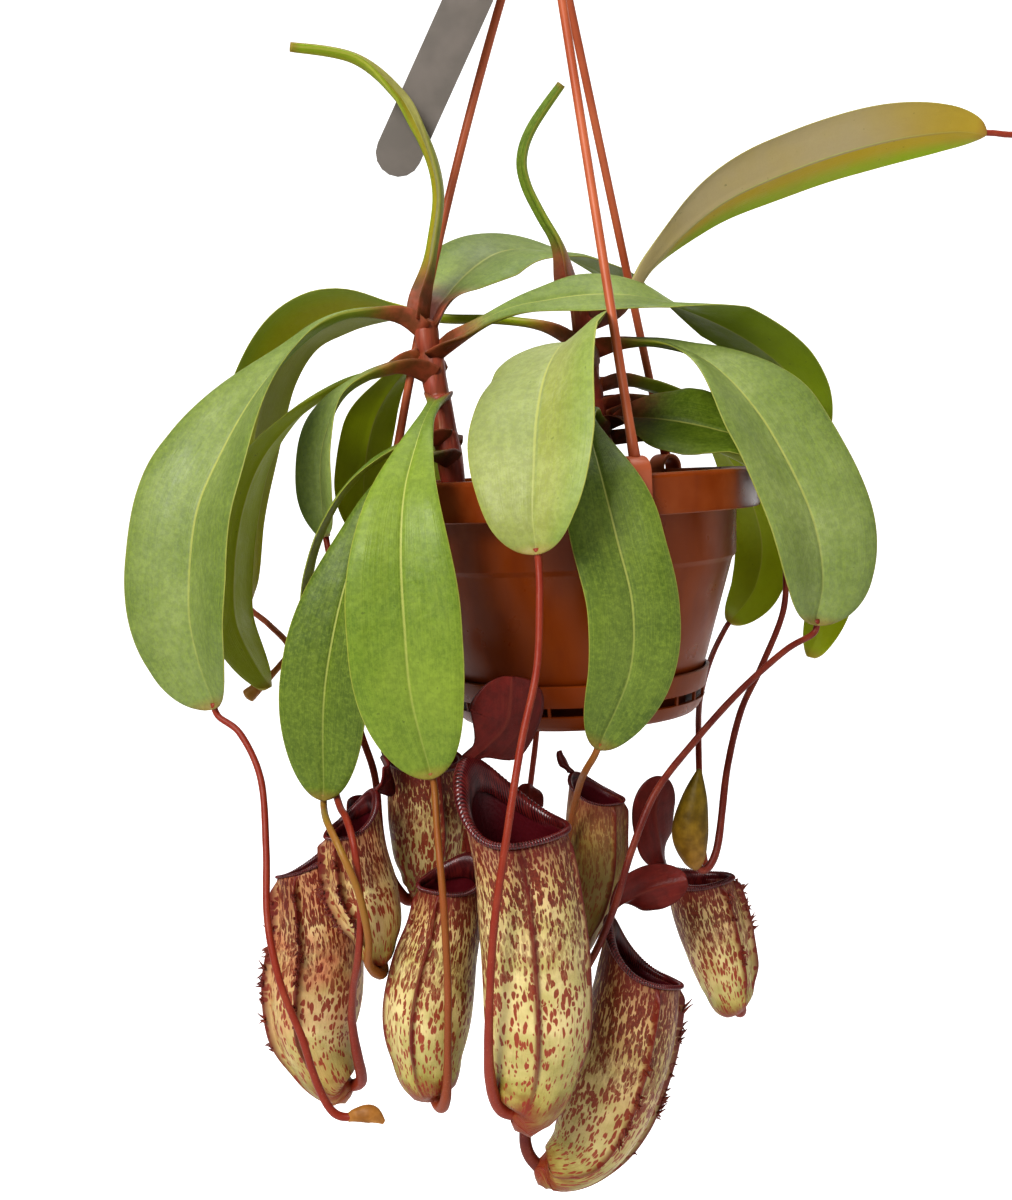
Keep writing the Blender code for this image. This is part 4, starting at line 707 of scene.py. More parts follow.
PITCHERS = {
    "pitcher_left": dict(
        front=(-0.9, -0.45, 0), ridges=(-12, 47), rise=9, wing=3.0,
        lid=[(-84, -36, -118), (-78, -30, -112)], lid_half=6, flush=1.0, fringe=34, lean=3.0, lip=0.5,
        route=[(-88, -46, -212, 1.3), (-93, -46, -211, 5), (-97, -46, -203, 10.5), (-100, -45, -190, 14.5),
            (-99, -45, -175, 16.5), (-97, -45, -158, 15), (-98, -46, -144, 12.3), (-99, -46, -134, 11)]),
    "pitcher_left_front": dict(
        front=(-0.85, -0.5, 0), ridges=(-15, 32), rise=10, wing=3.0, lid=[(-68, -60, -98), (-70, -56, -92)],
        lid_half=7, flush=0.8, fringe=20, lip=0.8,
        route=[(-73, -72, -159, 1.3), (-74, -72, -154, 4.6), (-74, -72, -145, 8.8), (-77, -70, -135, 11.1),
            (-79, -70, -124, 10.4), (-80, -70, -114, 9.1)]),
    "pitcher_inner": dict(
        front=(0.75, -0.65, 0), rise=8, wing=2.0, lid=[(-67, -30, -84), (-70, -27, -76)], lid_half=7,
        flush=0.5, shade_by_speckles=0.12,
        route=[(-63, -40, -147, 1.3), (-60, -40, -143, 5.6), (-58, -40, -134, 11.1), (-57, -40, -122, 13.5),
            (-57, -40, -111, 13.5), (-57, -40, -99, 12.5)]),
    "pitcher_middle": dict(
        front=(-0.6, -0.8, 0), ridges=(-43, 17), rise=10, wing=1.5,
        lid=[(-40, -58, -117), (-38, -52, -112)], lid_half=6, flush=0.15, shade_by_speckles=0.03, lean=1.5, lip=0.8,
        route=[(-57, -74, -206, 1.3), (-58, -73, -203, 5.3), (-59, -72, -193, 11), (-58, -72, -177, 14.2),
            (-55, -72, -161, 13.7), (-51, -72, -147, 11.7), (-49, -72, -135, 10.1)]),
    "pitcher_front": dict(
        front=(0.77, -0.64, 0), ridges=(-50, 25), rise=24, power=3.2, wing=1.2,
        lid=[(-28, -78, -79), (-25, -79, -63)], lid_half=14, lid_facing=(-0.3, 1, 0.3), flush=0.15,
        lip=0.75, lean=1.0,
        route=[(-32, -95, -203, 1.3), (-28, -94, -202, 6.8), (-24, -92, -190, 13.6), (-22, -92, -172, 16.8),
            (-22, -92, -148, 17.1), (-23, -92, -128, 16.2), (-25, -92, -113, 15.6)]),
    "pitcher_right_back": dict(
        front=(0.85, -0.5, 0), rise=7, wing=1.5, lid=[(-7, -33, -103), (-9, -31, -98)], lid_half=3.5,
        flush=0.2, tan=0.75, lip=0.4,
        route=[(-8, -40, -170, 1.3), (-6, -40, -165, 4.2), (-2, -40, -152, 8.7), (1, -40, -138, 10.4),
            (2, -40, -125, 10.4), (3, -40, -114, 9.7)]),
    "pitcher_right_low": dict(
        front=(0.95, -0.3, 0), ridges=(-52, 20), rise=17, power=3.0, wing=2.5, lid_half=8,
        lid=[(8, -63, -145), (18, -65, -140), (31, -66, -137)], lid_facing=(0.2, 1, -0.2), flush=0.35,
        shade_by_speckles=0.04, tan=0.12, fringe=26, lean=2.6, lip=0.65,
        route=[(-25, -62, -237, 1.3), (-19, -62, -238, 5.2), (-9, -62, -232, 11.8), (0, -62, -218, 15),
            (7, -62, -200, 15.6), (11, -62, -185, 15.3), (14, -62, -172, 13.9)]),
    "pitcher_right": dict(
        front=(0.9, -0.45, 0), ridges=(-30, 21), rise=5, wing=2.5, lid_half=9,
        lid=[(25, -33, -135), (24, -35, -120), (27, -36, -108)], lid_facing=(-0.2, 1, 0), flush=0.4,
        fringe=14, shade_by_speckles=0.05, dark=0.5, lip=0.9, lean=2.2,
        route=[(52, -30, -198, 1.3), (50, -30, -194, 5.7), (48, -30, -186, 9.6), (45, -30, -172, 11.7),
            (42, -30, -160, 12.4), (40, -30, -150, 11.7)]),
    "pitcher_back": dict(
        front=(0, -1, 0), rise=8, wing=1.5, lid=[(-20, 34, -130), (-20, 38, -125)], lid_half=6, flush=0.3,
        route=[(-22, 25, -199, 1.3), (-21, 24, -194, 4.5), (-20, 23, -183, 9), (-19, 22, -168, 11),
            (-19, 22, -158, 10), (-20, 22, -147, 9)]),
}

BUDS = {
    "bud_upright": [(36, -54, -137, 1.2), (35, -54, -133, 4), (34, -54, -124, 6), (36, -54, -112, 4.2),
                    (38, -54, -102, 0.7)],
    "bud_dry": [(-87, -74, -211, 1.2), (-84, -74, -210, 2.2), (-79, -74, -210, 2.8), (-75, -74, -213, 0.7)],
}

TENDRILS = {
    "tendril_far_left": dict(
        leaf="leaf_far_left", tones=(0.6, 0.8), swell=2.2,
        via=[(-120, 32, -54), (-112, 27, -63), (-117, 22, -71), (-129, 20, -81)]),
    "tendril_big_left": dict(
        leaf="leaf_big_left", to="bud_dry", tones=(0.5, 0.5),
        via=[(-120, -44, -84), (-113, -50, -99), (-111, -60, -121), (-110, -72, -142), (-106, -78, -162),
            (-100, -78, -181), (-97, -76, -196), (-93, -74, -208)]),
    "tendril_left_low": dict(
        leaf="leaf_left_low", to="pitcher_left", tones=(0.45, 0.4),
        via=[(-92, -46, -62), (-90, -50, -85), (-87, -57, -101), (-84, -68, -106), (-81, -79, -107),
            (-78, -87, -115), (-77, -88, -134), (-79, -85, -151), (-83, -73, -168), (-85, -63, -185),
            (-84, -56, -202)]),
    "tendril_front_left": dict(
        leaf="leaf_front_left", to="pitcher_left_front", tones=(0.95, 0.7),
        via=[(-87, -80, -108), (-82, -90, -115), (-77, -92, -128), (-75, -89, -144), (-76, -82, -156)]),
    "tendril_left_inner": dict(
        leaf="leaf_left_inner", to="pitcher_inner", tones=(0.4, 0.4),
        via=[(-86, -20, -40), (-80, -38, -80), (-74, -47, -100), (-73, -47, -122), (-71, -43, -138),
            (-67, -40, -146)]),
    "tendril_front_bright": dict(
        leaf="leaf_front_bright", to="pitcher_middle", tones=(0.75, 0.6),
        via=[(-51, -88, -110), (-50, -94, -131), (-50, -93, -158), (-51.5, -88, -184), (-53, -83, -201)]),
    "tendril_front_centre": dict(
        leaf="leaf_front_centre", to="pitcher_front", tones=(0.5, 0.45),
        via=[(-15, -96, -37), (-17, -101, -58), (-23, -108, -80), (-29, -115, -108), (-34, -115, -135),
            (-37, -111, -165), (-38, -103, -188), (-36, -97, -199)]),
    "tendril_front_right": dict(
        leaf="leaf_front_right", to="pitcher_right_back", tones=(0.75, 0.6),
        via=[(-2, -75, -96), (-4, -64, -104), (-7, -54, -119), (-10, -50, -136), (-13, -46, -155),
            (-12, -42, -168)]),
    "tendril_big_right": dict(
        leaf="leaf_big_right", to="pitcher_right_low", tones=(0.25, 0.1),
        via=[(72, -36, -65), (54, -46, -77), (36, -60, -91), (21, -72, -105), (12, -76, -123),
            (6, -77, -140), (-1, -74, -157), (-11, -66, -177), (-20, -64, -198), (-27, -62, -217),
            (-29, -62, -231)]),
    "tendril_back_right": dict(
        leaf="leaf_back_right", to="pitcher_right", tones=(0.3, 0.4),
        via=[(58, 52, -79), (50, 30, -92), (46, 8, -105), (44, -6, -124), (44, -9, -143), (48, -9, -165),
            (53, -13, -186), (54, -21, -197)]),
    "tendril_right_dark": dict(
        leaf="leaf_right_dark", to="bud_upright", tones=(0.3, 0.2),
        via=[(84, 20, -38), (82, 18, -57), (71, 8, -77), (60, -10, -90), (51, -32, -106), (46, -46, -122),
            (43, -52, -134), (39, -54, -139)]),
    "tendril_back_middle": dict(
        leaf="leaf_back_middle", to="pitcher_back", tones=(0.3, 0.4),
        via=[(-13, 70, -80), (-15, 58, -105), (-20, 52, -135), (-23, 46, -162), (-24, 36, -188),
            (-23, 29, -199)]),
    "tendril_up_right": dict(
        leaf="leaf_up_right", via=[(180, 31, 122), (196, 34, 124), (207, 37, 119)]),
}


# Hanger

def polar(radius, degrees, height):
    angle = math.radians(degrees)
    return (radius * math.cos(angle), radius * math.sin(angle), height)


def rod_line(name, height):
    share = (ROD_APEX - height) / (ROD_APEX - CLIP_RISE + CLIP_THICK / 2)
    bow = 4 * share * (1 - share) * ROD_BOW[name]
    return polar(CLIP_RADIUS * share + bow, ROD_ANGLES[name], height)


def arch(centre, radius_x, radius_z, start, end, count):
    return [(centre[0] + radius_x * math.cos(a), centre[1] + radius_z * math.sin(a))
            for a in np.radians(np.linspace(start, end, count))]


def make_clip(degrees):
    """A rounded strap bent over the rim, with a tooth under its skirt."""
    inner = WALL_TOP_RADIUS - WALL - 0.75 - CLIP_THICK
    outer = RIM_RADIUS + 0.3
    middle = (inner + CLIP_THICK + outer) / 2
    reach = (outer - inner - CLIP_THICK) / 2
    lift = 0.5
    foot = -RIM_SKIRT - 0.3
    outside = [(outer + CLIP_THICK, foot - 1.5), (outer + CLIP_THICK, lift)]
    outside += arch((middle, lift), reach + CLIP_THICK, CLIP_RISE - lift, 10, 180, 14)
    outside += [(inner, -6)]
    inside = [(inner + CLIP_THICK, -6), (inner + CLIP_THICK, lift)]
    inside += arch((middle, lift), reach, CLIP_RISE - lift - CLIP_THICK, 170, 0, 14)
    inside += [(outer, foot), (outer - 1.5, foot), (outer - 1.5, foot - 1.5)]
    outline = outside + inside
    turn = math.radians(degrees)
    rows = [[(x * math.cos(turn) - off * math.sin(turn), x * math.sin(turn) + off * math.cos(turn), z)
             for x, z in outline] for off in (-CLIP_WIDTH / 2, CLIP_WIDTH / 2)]
    clip = ring_mesh("clip", rows)
    bevel = clip.modifiers.new("bevel", "BEVEL")
    bevel.width = 0.45 * MM
    bevel.segments = 2
    bevel.limit_method = "ANGLE"
    return clip


def make_rods():
    steps = 40
    for name, degrees in ROD_ANGLES.items():
        heights = np.linspace(CLIP_RISE - CLIP_THICK / 2, HUB_LOW + ROD_SINK, steps)
        line, ways = route_through([rod_line(name, height) for height in heights], np.linspace(0, 1, steps))
        radii = [ROD_RADIUS + 0.4 * bell(k, 1.4) for k in range(steps)]
        rod = ring_mesh("shaft", tube_rings(line, ways, radii, 20))
        clip = make_clip(degrees)
        dress(rod, ROD_PLASTIC, [name])
        dress(clip, ROD_PLASTIC)
        rod.name = name + "_shaft"
        clip.name = name + "_strap"
    bpy.data.objects["hanger_hook"].data.materials[0] = ROD_PLASTIC


# Pot and tray

def make_pot():
    """Thin wall with a stepped band, a turned-down rim, a floor and a foot ring, all edges eased."""
    inner_rim = WALL_TOP_RADIUS - WALL
    floor_top = POT_FLOOR - WALL
    low = -TRAY_BOTTOM + WALL + 0.3
    rim, skirt, wall, band = RIM_RADIUS, -RIM_SKIRT, WALL_TOP_RADIUS, BAND_RADIUS
    body, base, foot = BODY_RADIUS, POT_FLOOR_RADIUS, FOOT_RADIUS
    profile = [(inner_rim + 0.5, 0), (rim - 1.8, 0), (rim - 1.0, -0.2), (rim - 0.3, -0.9), (rim, -1.9),
               (rim - 0.1, skirt + 2.4), (rim + 0.25, skirt + 1.6), (rim + 0.25, skirt + 0.4),
               (rim - 0.2, skirt), (rim - WALL, skirt), (rim - WALL, -WALL - 1.6),
               (rim - WALL - 0.6, -WALL - 1), (wall + 0.5, -WALL - 1), (wall, -WALL - 1.6),
               (band, -BAND_DEPTH + 0.5), (band - 0.3, -BAND_DEPTH), (body + 0.3, -BAND_DEPTH - 1.2),
               (body, -BAND_DEPTH - 1.9), (base + 0.5, -POT_FLOOR + 1.2), (base - 0.6, -POT_FLOOR),
               (foot + WALL, -POT_FLOOR), (foot + WALL - 0.3, low), (foot, low), (foot, -POT_FLOOR),
               (0, -POT_FLOOR), (0, -floor_top), (base - WALL, -floor_top), (body - WALL, -BAND_DEPTH - 1.5),
               (band - WALL, -BAND_DEPTH + 2), (inner_rim, -0.6)]
    pot = sharpen(turned("pot_body", profile, 160))
    dress(pot, POT_PLASTIC, ["pot"])


def make_tray():
    """The skirt round the pot's foot, the dish below it and the posts between their slots."""
    low = TRAY_WAIST + TRAY_SLOT
    top, waist, bottom, under = TRAY_TOP_RADIUS, TRAY_WAIST_RADIUS, TRAY_BOTTOM_RADIUS, -TRAY_BOTTOM
    skirt = [(top, -TRAY_TOP - 0.4), (top - 0.4, -TRAY_TOP), (top - TRAY_SKIN, -TRAY_TOP),
             (waist - TRAY_SKIN, -TRAY_WAIST), (waist - 0.3, -TRAY_WAIST), (waist, -TRAY_WAIST + 0.3)]
    dish = [(waist - 0.4, -low - 0.3), (waist - 0.8, -low), (waist - 0.4 - TRAY_SKIN, -low),
            (bottom - 0.5, under + WALL), (0, under + WALL), (0, under), (bottom, under),
            (bottom + 1.8, under + 0.4), (bottom + 3.4, under + 1.9)]
    items = [turned("skirt", skirt, 144), turned("dish", dish, 144)]
    half_post = 0.55
    for k in range(TRAY_SLOTS):
        degrees = 360 * k / TRAY_SLOTS
        rows = [[polar(r, degrees + math.degrees(side * half_post / r), height)
                 for r, side in ((radius - 1.0, -1), (radius, -1), (radius, 1), (radius - 1.0, 1))]
                for height, radius in ((-low - 0.4, waist - 0.5), (-TRAY_WAIST + 0.4, waist - 0.1))]
        items.append(ring_mesh("post", rows))
    tray = sharpen(joined("tray_body", items))
    dress(tray, POT_PLASTIC, ["drip_tray"])


# Soil

def make_soil(rng):
    """Loose peat heaped under the rim, with bark chips and fibres lying on it."""
    rings = []
    for radius in np.linspace(SOIL_RADIUS, 2, 44):
        ring = []
        for angle in turns(150):
            x, y = radius * math.cos(angle), radius * math.sin(angle)
            rise = sum(height * waves(fine * x, fine * y, seed)
                       for seed, height, fine in ((1, 1.3, 0.09), (2, 0.9, 0.35), (3, 0.5, 0.9)))
            ring.append((x, y, -SOIL_DEPTH + 1.0 + rise))
        rings.append(ring)
    wall = [(x, y, -SOIL_DEPTH - 14) for x, y, _ in rings[0]]
    dress(ring_mesh("peat_heap", [wall] + rings), PEAT, ["soil"])
    chips = []
    for _ in range(CHIP_COUNT):
        radius, angle = SOIL_RADIUS * math.sqrt(rng.random()) * 0.97, rng.random() * 2 * math.pi
        height = -SOIL_DEPTH + 1.6 + rng.random()
        centre = np.array((radius * math.cos(angle), radius * math.sin(angle), height))
        turn, tilt = rng.random() * math.pi, rng.normal(0, 0.35)
        along = np.array((math.cos(turn), math.sin(turn), tilt))
        long = rng.random() < 0.45
        length = rng.uniform(4, 11) if long else rng.uniform(1.2, 3.2)
        thick = rng.uniform(0.12, 0.28) if long else rng.uniform(0.5, 1.1)
        bend = np.array((rng.normal(0, 0.25), rng.normal(0, 0.25), abs(rng.normal(0, 0.15)))) * length
        points = [centre - along * length / 2, centre + bend * 0.5, centre + along * length / 2]
        line, ways = route_through(points, np.linspace(0, 1, 6))
        radii = [thick * (0.45 + 0.55 * math.sin(math.pi * (0.1 + 0.8 * s))) for s in np.linspace(0, 1, 6)]
        chips.append(ring_mesh("chip", tube_rings(line, ways, radii, 5)))
    dress(joined("peat_chips", chips), FIBRE)


# Stems and leaves

def stem_at(name, height):
    steps = 60
    line, _ = route_through(STEMS[name]["points"], np.linspace(0, 1, steps))
    index = int(np.argmin(abs(line[:, 2] - height)))
    return line[index], between(STEMS[name]["radii"], index / (steps - 1))


def rooted(leaf):
    """The leaf's route from inside the stem's skin, or from its top for the crown."""
    points = [np.array(p, float) for p in leaf["spine"]]
    centre, radius = stem_at(leaf["stem"], points[0][2])
    if leaf.get("crown"):
        centre = np.array(STEMS[leaf["stem"]]["points"][-1], float)
        return [centre - unit(points[1] - centre)] + points[1:]
    way = points[1] - centre
    way[2] *= 0.3
    return [centre + unit(way) * radius * 0.55] + points[1:]


def make_stems():
    """Each stem thickens where a leaf's foot clasps it, and ends in a short growing point."""
    steps, sides = 170, 40
    for name, stem in STEMS.items():
        line, ways = route_through(stem["points"], np.linspace(0, 1, steps))
        feet = []
        for leaf in LEAVES.values():
            if leaf["stem"] == name and not leaf.get("crown"):
                way = np.array(leaf["spine"][1], float) - leaf["spine"][0]
                feet.append((leaf["spine"][0][2], unit((way[0], way[1], 0))))
        rings, tones = [], []
        for k, (point, (side, up)) in enumerate(zip(line, cross_frame(ways, RING_HINT))):
            base = between(stem["radii"], k / (steps - 1)) * 0.9
            base *= 0.35 + 0.65 * smooth((steps - 1 - k) / 4)
            ring, tone = [], []
            for angle in turns(sides):
                out = outward(side, up, angle)
                swell = 0.0
                for height, way in feet:
                    above = point[2] - height - 2.2
                    ring_share = bell(math.acos(max(-1.0, min(1.0, float(np.dot(out, way))))), 1.5)
                    wrap = smooth((above + 13) / 11) * smooth((1.6 - above) / 1.4)
                    swell = max(swell, ring_share * wrap)
                grain = 0.1 * waves(6 * math.cos(angle), 0.05 * point[2] + 6 * math.sin(angle), 3)
                ring.append(point + out * (base + grain + 1.15 * swell))
                tone.append(swell)
            rings.append(ring)
            tones.append(tone)
        dress(ring_mesh(name + "_skin", rings, {"tone": tones}), STEM_SKIN, [name])


def half_width(t, leaf):
    """Half the blade's width along its length: petiole, widening, full blade, rounded tip."""
    rise = smooth((t - leaf.get("petiole", 0.1)) / leaf.get("widen", 0.4))
    width = PETIOLE_HALF + (leaf["half"] - PETIOLE_HALF) * rise
    tip = leaf.get("tip", 0.24)
    into_tip = max(0.0, (t - 1 + tip) / tip)
    end = TIP_HALF / leaf["half"]
    return width * math.sqrt(1 - (1 - end * end) * into_tip ** 2)


# Half of the columns across a blade, from the midrib to the margin
ACROSS = (0, 0.025, 0.06, 0.13, 0.22, 0.33, 0.45, 0.57, 0.69, 0.8, 0.89, 0.95, 0.985, 1.0)


def blade_rows(points, facings, shape, rows):
    """Each row of a blade: share of its length, centre, side way, upper way and half width."""
    shares = 1 - (1 - np.linspace(0, 1, rows + 1)) ** TIP_CROWDING
    for t, centre, tangent in zip(shares, *route_through(points, shares)):
        upper = square_to(tangent, between(facings, t))
        yield t, centre, np.cross(tangent, upper), upper, half_width(t, shape)


def make_leaf(name, leaf, seed):
    """A leathery blade: grooved midrib, rib below, gently waved margins, thick reddish stalk."""
    rows = 90 if leaf["half"] > 10 else 60
    root = None
    fold = math.radians(leaf.get("fold", 12))
    columns = [-s for s in reversed(ACROSS)] + list(ACROSS[1:])
    wave = leaf.get("wave", 0.03)
    rings, share, feet = [], [], []
    for t, centre, side, upper, width in blade_rows(rooted(leaf), leaf["facing"], leaf, rows):
        root = centre if root is None else root
        away = float(np.linalg.norm(centre - root))
        stalk = 1 - smooth((width - PETIOLE_HALF) / 6)
        clasp = 1 - smooth((away - CLASP_START) / CLASP_FADE)
        width += CLASP_SPREAD * clasp
        top, bottom = [], []
        for s in columns:
            out = s * width
            soft = 0.22 * width
            gutter = (math.sin(fold) + 0.75 * clasp) * (math.sqrt(out * out + soft * soft) - soft)
            roll = -0.10 * width * abs(s) ** 5 * (1 - stalk)
            ripple = waves(5.5 * t + seed, s * 1.2, seed) * wave * width * (0.25 + abs(s)) * (1 - stalk)
            groove = -0.55 * bell(out, 0.9) * (1 - 0.5 * stalk)
            half_thick = 0.33 * (1 - 0.6 * abs(s) ** 6) + stalk * 1.25 * math.sqrt(max(0.0, 1 - s * s))
            rib = (0.9 * (1 - t) + 0.25) * bell(out, 1.3) * (1 - stalk)
            middle = centre + side * out * math.cos(fold) + upper * (gutter + roll + ripple)
            top.append(middle + upper * (half_thick + groove))
            bottom.append(middle - upper * (half_thick + rib))
        rings.append(top + bottom[::-1])
        share.append([(s, t, 0) for s in columns] + [(s, t, 1) for s in reversed(columns)])
        feet.append(1 - smooth((away - ROSY_START) / (ROSY_FADE_CROWN if leaf.get("crown") else ROSY_FADE)))
    count = len(rings[0])
    fields = {"share": share, "foot": np.tile(np.array(feet)[:, None], (1, count))}
    for field in ("tone", "bronze", "pale"):
        fields[field] = np.full((rows + 1, count), leaf.get(field, 0.0))
    dress(ring_mesh(name + "_blade", rings, fields), LEAF_SKIN, [name])


# Pitchers

# The lip's section from its outer edge over the roll and into the jug: out, up
LIP_PROFILE = [(-0.4, -1.2), (1.6, -1.0), (2.9, -0.2), (3.3, 1.1), (2.6, 2.5), (1.1, 3.4), (-0.6, 3.1),
               (-1.7, 1.6), (-1.9, -0.4), (-1.5, -2.4)]


def mouth_lift(angle, pitcher):
    """The mouth's edge above its low front: up to the neck, and up on the near side by lean."""
    near = -pitcher["front"][1] * math.cos(angle) - pitcher["front"][0] * math.sin(angle)
    neck = ((1 - math.cos(angle)) / 2) ** pitcher.get("power", MOUTH_POWER)
    return pitcher["rise"] * neck + pitcher.get("lean", 0.0) * near


def ring_frame(pitcher, tangent):
    front = square_to(tangent, pitcher["front"])
    return front, np.cross(tangent, front)


def round_skin(angle, height):
    return SKIN_SPREAD * math.cos(angle), SKIN_SPREAD * math.sin(angle), height


def slant(t):
    return smooth((t - SLANT_START) / (1 - SLANT_START))


# Degrees from a ridge's crest where the jug has extra columns
RIDGE_STEPS = (-8, -6, -4.5, -3, -1.5, 0, 1.5, 3, 4.5, 6, 8)


def ridge_share(degrees, pitcher):
    """1 on the crest of either ridge down the front, 0 away from them."""
    return max(bell(degrees - crest, 3.2) for crest in pitcher.get("ridges", RIDGE_ANGLES))


def ridge_fade(t):
    """The ridges stand full from a third of the way up and stop under the lip."""
    return (0.12 + 0.88 * smooth((t - 0.06) / 0.28)) * smooth((1 - t) / 0.06)


def make_jug(name, pitcher, seed):
    """The jug's wall, outside and in, as one skin."""
    even = np.linspace(-180, 180, 96, endpoint=False)
    crests = pitcher.get("ridges", RIDGE_ANGLES)
    angles = sorted({round(a, 2) for a in [*even, *(crest + off for crest in crests for off in RIDGE_STEPS)]})
    count = len(angles)
    route = pitcher["route"]
    outer = np.concatenate([[0, 0.006, 0.016, 0.03], np.linspace(0.05, 1, 66)])
    rings, skin, share = [], [], []
    length = sum(np.linalg.norm(np.subtract(a[:3], b[:3])) for a, b in zip(route, route[1:]))
    widest = max(point[3] for point in route)
    for inside, ts in ((0, outer), (1, np.linspace(0.985, 0.22, 26))):
        found, tangents = route_through(route, ts)
        for t, point, tangent in zip(ts, found, tangents):
            front, side = ring_frame(pitcher, tangent)
            ring, spots, marks = [], [], []
            for degrees in angles:
                angle = math.radians(degrees)
                ridge = ridge_share(degrees, pitcher)
                swell = 0.02 * point[3] * waves(2.2 * math.cos(angle), 2.2 * math.sin(angle) + 5 * t, seed)
                dent = 0.05 * waves(9 * math.cos(angle), 9 * math.sin(angle) + 3 * t, seed + 40)
                outside = swell + dent + ridge * ridge_fade(t) * pitcher["wing"]
                foot = TENDRIL_RADIUS * FOOT_RADIUS_SHARE * 1.04
                heel = 0.17 * widest * smooth(t / 0.03) * (1 - smooth((t - 0.05) / 0.17))
                reach = max(point[3], foot) + heel + (-PITCHER_WALL if inside else outside)
                rise = tangent * slant(t) * mouth_lift(angle, pitcher)
                ring.append(point[:3] + max(reach, 0.3) * outward(front, side, angle) + rise)
                spots.append(round_skin(angle, t * length + seed * 40))
                marks.append((min(1, 1.3 * ridge) * (0.6 + 0.4 * ridge_fade(t)), t, inside))
            rings.append(ring)
            skin.append(spots)
            share.append(marks)
    # Per jug: rosy flush, tan, and how dark the painted shade inside is.
    look = (pitcher.get("flush", 0.3), pitcher.get("tan", 0.0), pitcher.get("dark", 0.9))
    cast = np.tile(look, (len(rings), count, 1))
    # Extra speckles per jug, as painted shade.
    shade_by_speckles = np.full((len(rings), count), pitcher.get("shade_by_speckles", 0.0))
    jug = ring_mesh(name + "_jug", rings, {"skin": skin, "share": share, "cast": cast, "shade_by_speckles": shade_by_speckles})
    return dress(jug, PITCHER_SKIN, [name])


def make_lip(name, pitcher):
    """The rolled lip, finely ribbed across, thin in front and broad towards the neck."""
    around = 4 * LIP_RIBS
    (mouth,), (axis,) = route_through(pitcher["route"], [1.0])
    front, side = ring_frame(pitcher, axis)
    profile = [curve_point(LIP_PROFILE, p) for p in np.linspace(0, len(LIP_PROFILE) - 1, 22)]
    size = pitcher.get("lip", 1.0) * mouth[3] / 13
    rings, skin, share = [], [], []
    for k, (out, lift) in enumerate(profile):
        ring, spots, marks = [], [], []
        s = k / (len(profile) - 1)
        for j in range(around):
            angle = 2 * math.pi * j / around - math.pi
            back = (1 - math.cos(angle)) / 2
            grow = size * (0.5 + 0.3 * back ** 2)
            inward = 1 + 1.3 * back ** 2 if out < 0 else 1
            drop = size * 6.5 * back ** 2 * smooth((s - 0.66) / 0.34)
            rib = math.cos(LIP_RIBS * angle)
            rise = 0.15 * rib * smooth(s / 0.15)
            sway = 0.35 * waves(1.5 * math.cos(angle), 1.5 * math.sin(angle), pitcher["rise"])
            reach = mouth[3] + out * grow * inward + rise + sway
            height = lift * grow * (1 + 0.5 * back ** 3) - drop + rise + sway + mouth_lift(angle, pitcher)
            ring.append(mouth[:3] + reach * outward(front, side, angle) + axis * height)
            spots.append(round_skin(angle, 20 * s))
            marks.append((rib, s, 0))
        rings.append(ring)
        skin.append(spots)
        share.append(marks)
    lip = ring_mesh(name + "_lip", rings, {"skin": skin, "share": share}, caps=False)
    return dress(lip, LIP_SKIN)


def make_lid(name, pitcher):
    """The leaf-like lid on its neck behind the mouth, with a raised midrib."""
    (mouth,), (axis,) = route_through(pitcher["route"], [1.0])
    front, _ = ring_frame(pitcher, axis)
    neck = mouth[:3] - front * (mouth[3] + 0.4) + axis * (pitcher["rise"] + 1.2)
    facings = [-front, pitcher.get("lid_facing", -front + axis)]
    shape = dict(half=pitcher["lid_half"], petiole=0.12, widen=0.3, tip=0.4)
    columns = np.linspace(-1, 1, 21)
    rings, skin, share = [], [], []
    for t, centre, side, upper, width in blade_rows([neck] + pitcher["lid"], facings, shape, 40):
        top, bottom = [], []
        for s in columns:
            bend = 0.10 * width * s * s + 0.05 * width * waves(3 * t, 2 * s, pitcher["rise"])
            middle = centre + side * s * width + upper * bend
            top.append(middle + upper * (0.45 + 0.3 * bell(s * width, 0.8)))
            bottom.append(middle - upper * (0.45 + 0.5 * bell(s * width, 1.0)))
        rings.append(top + bottom[::-1])
        spots = [(s * width, 0, 30 * t) for s in columns]
        skin.append(spots + spots[::-1])
        share.append([(s, t, 0) for s in columns] + [(s, t, 1) for s in columns[::-1]])
    return dress(ring_mesh(name + "_lid", rings, {"skin": skin, "share": share}), LID_SKIN)


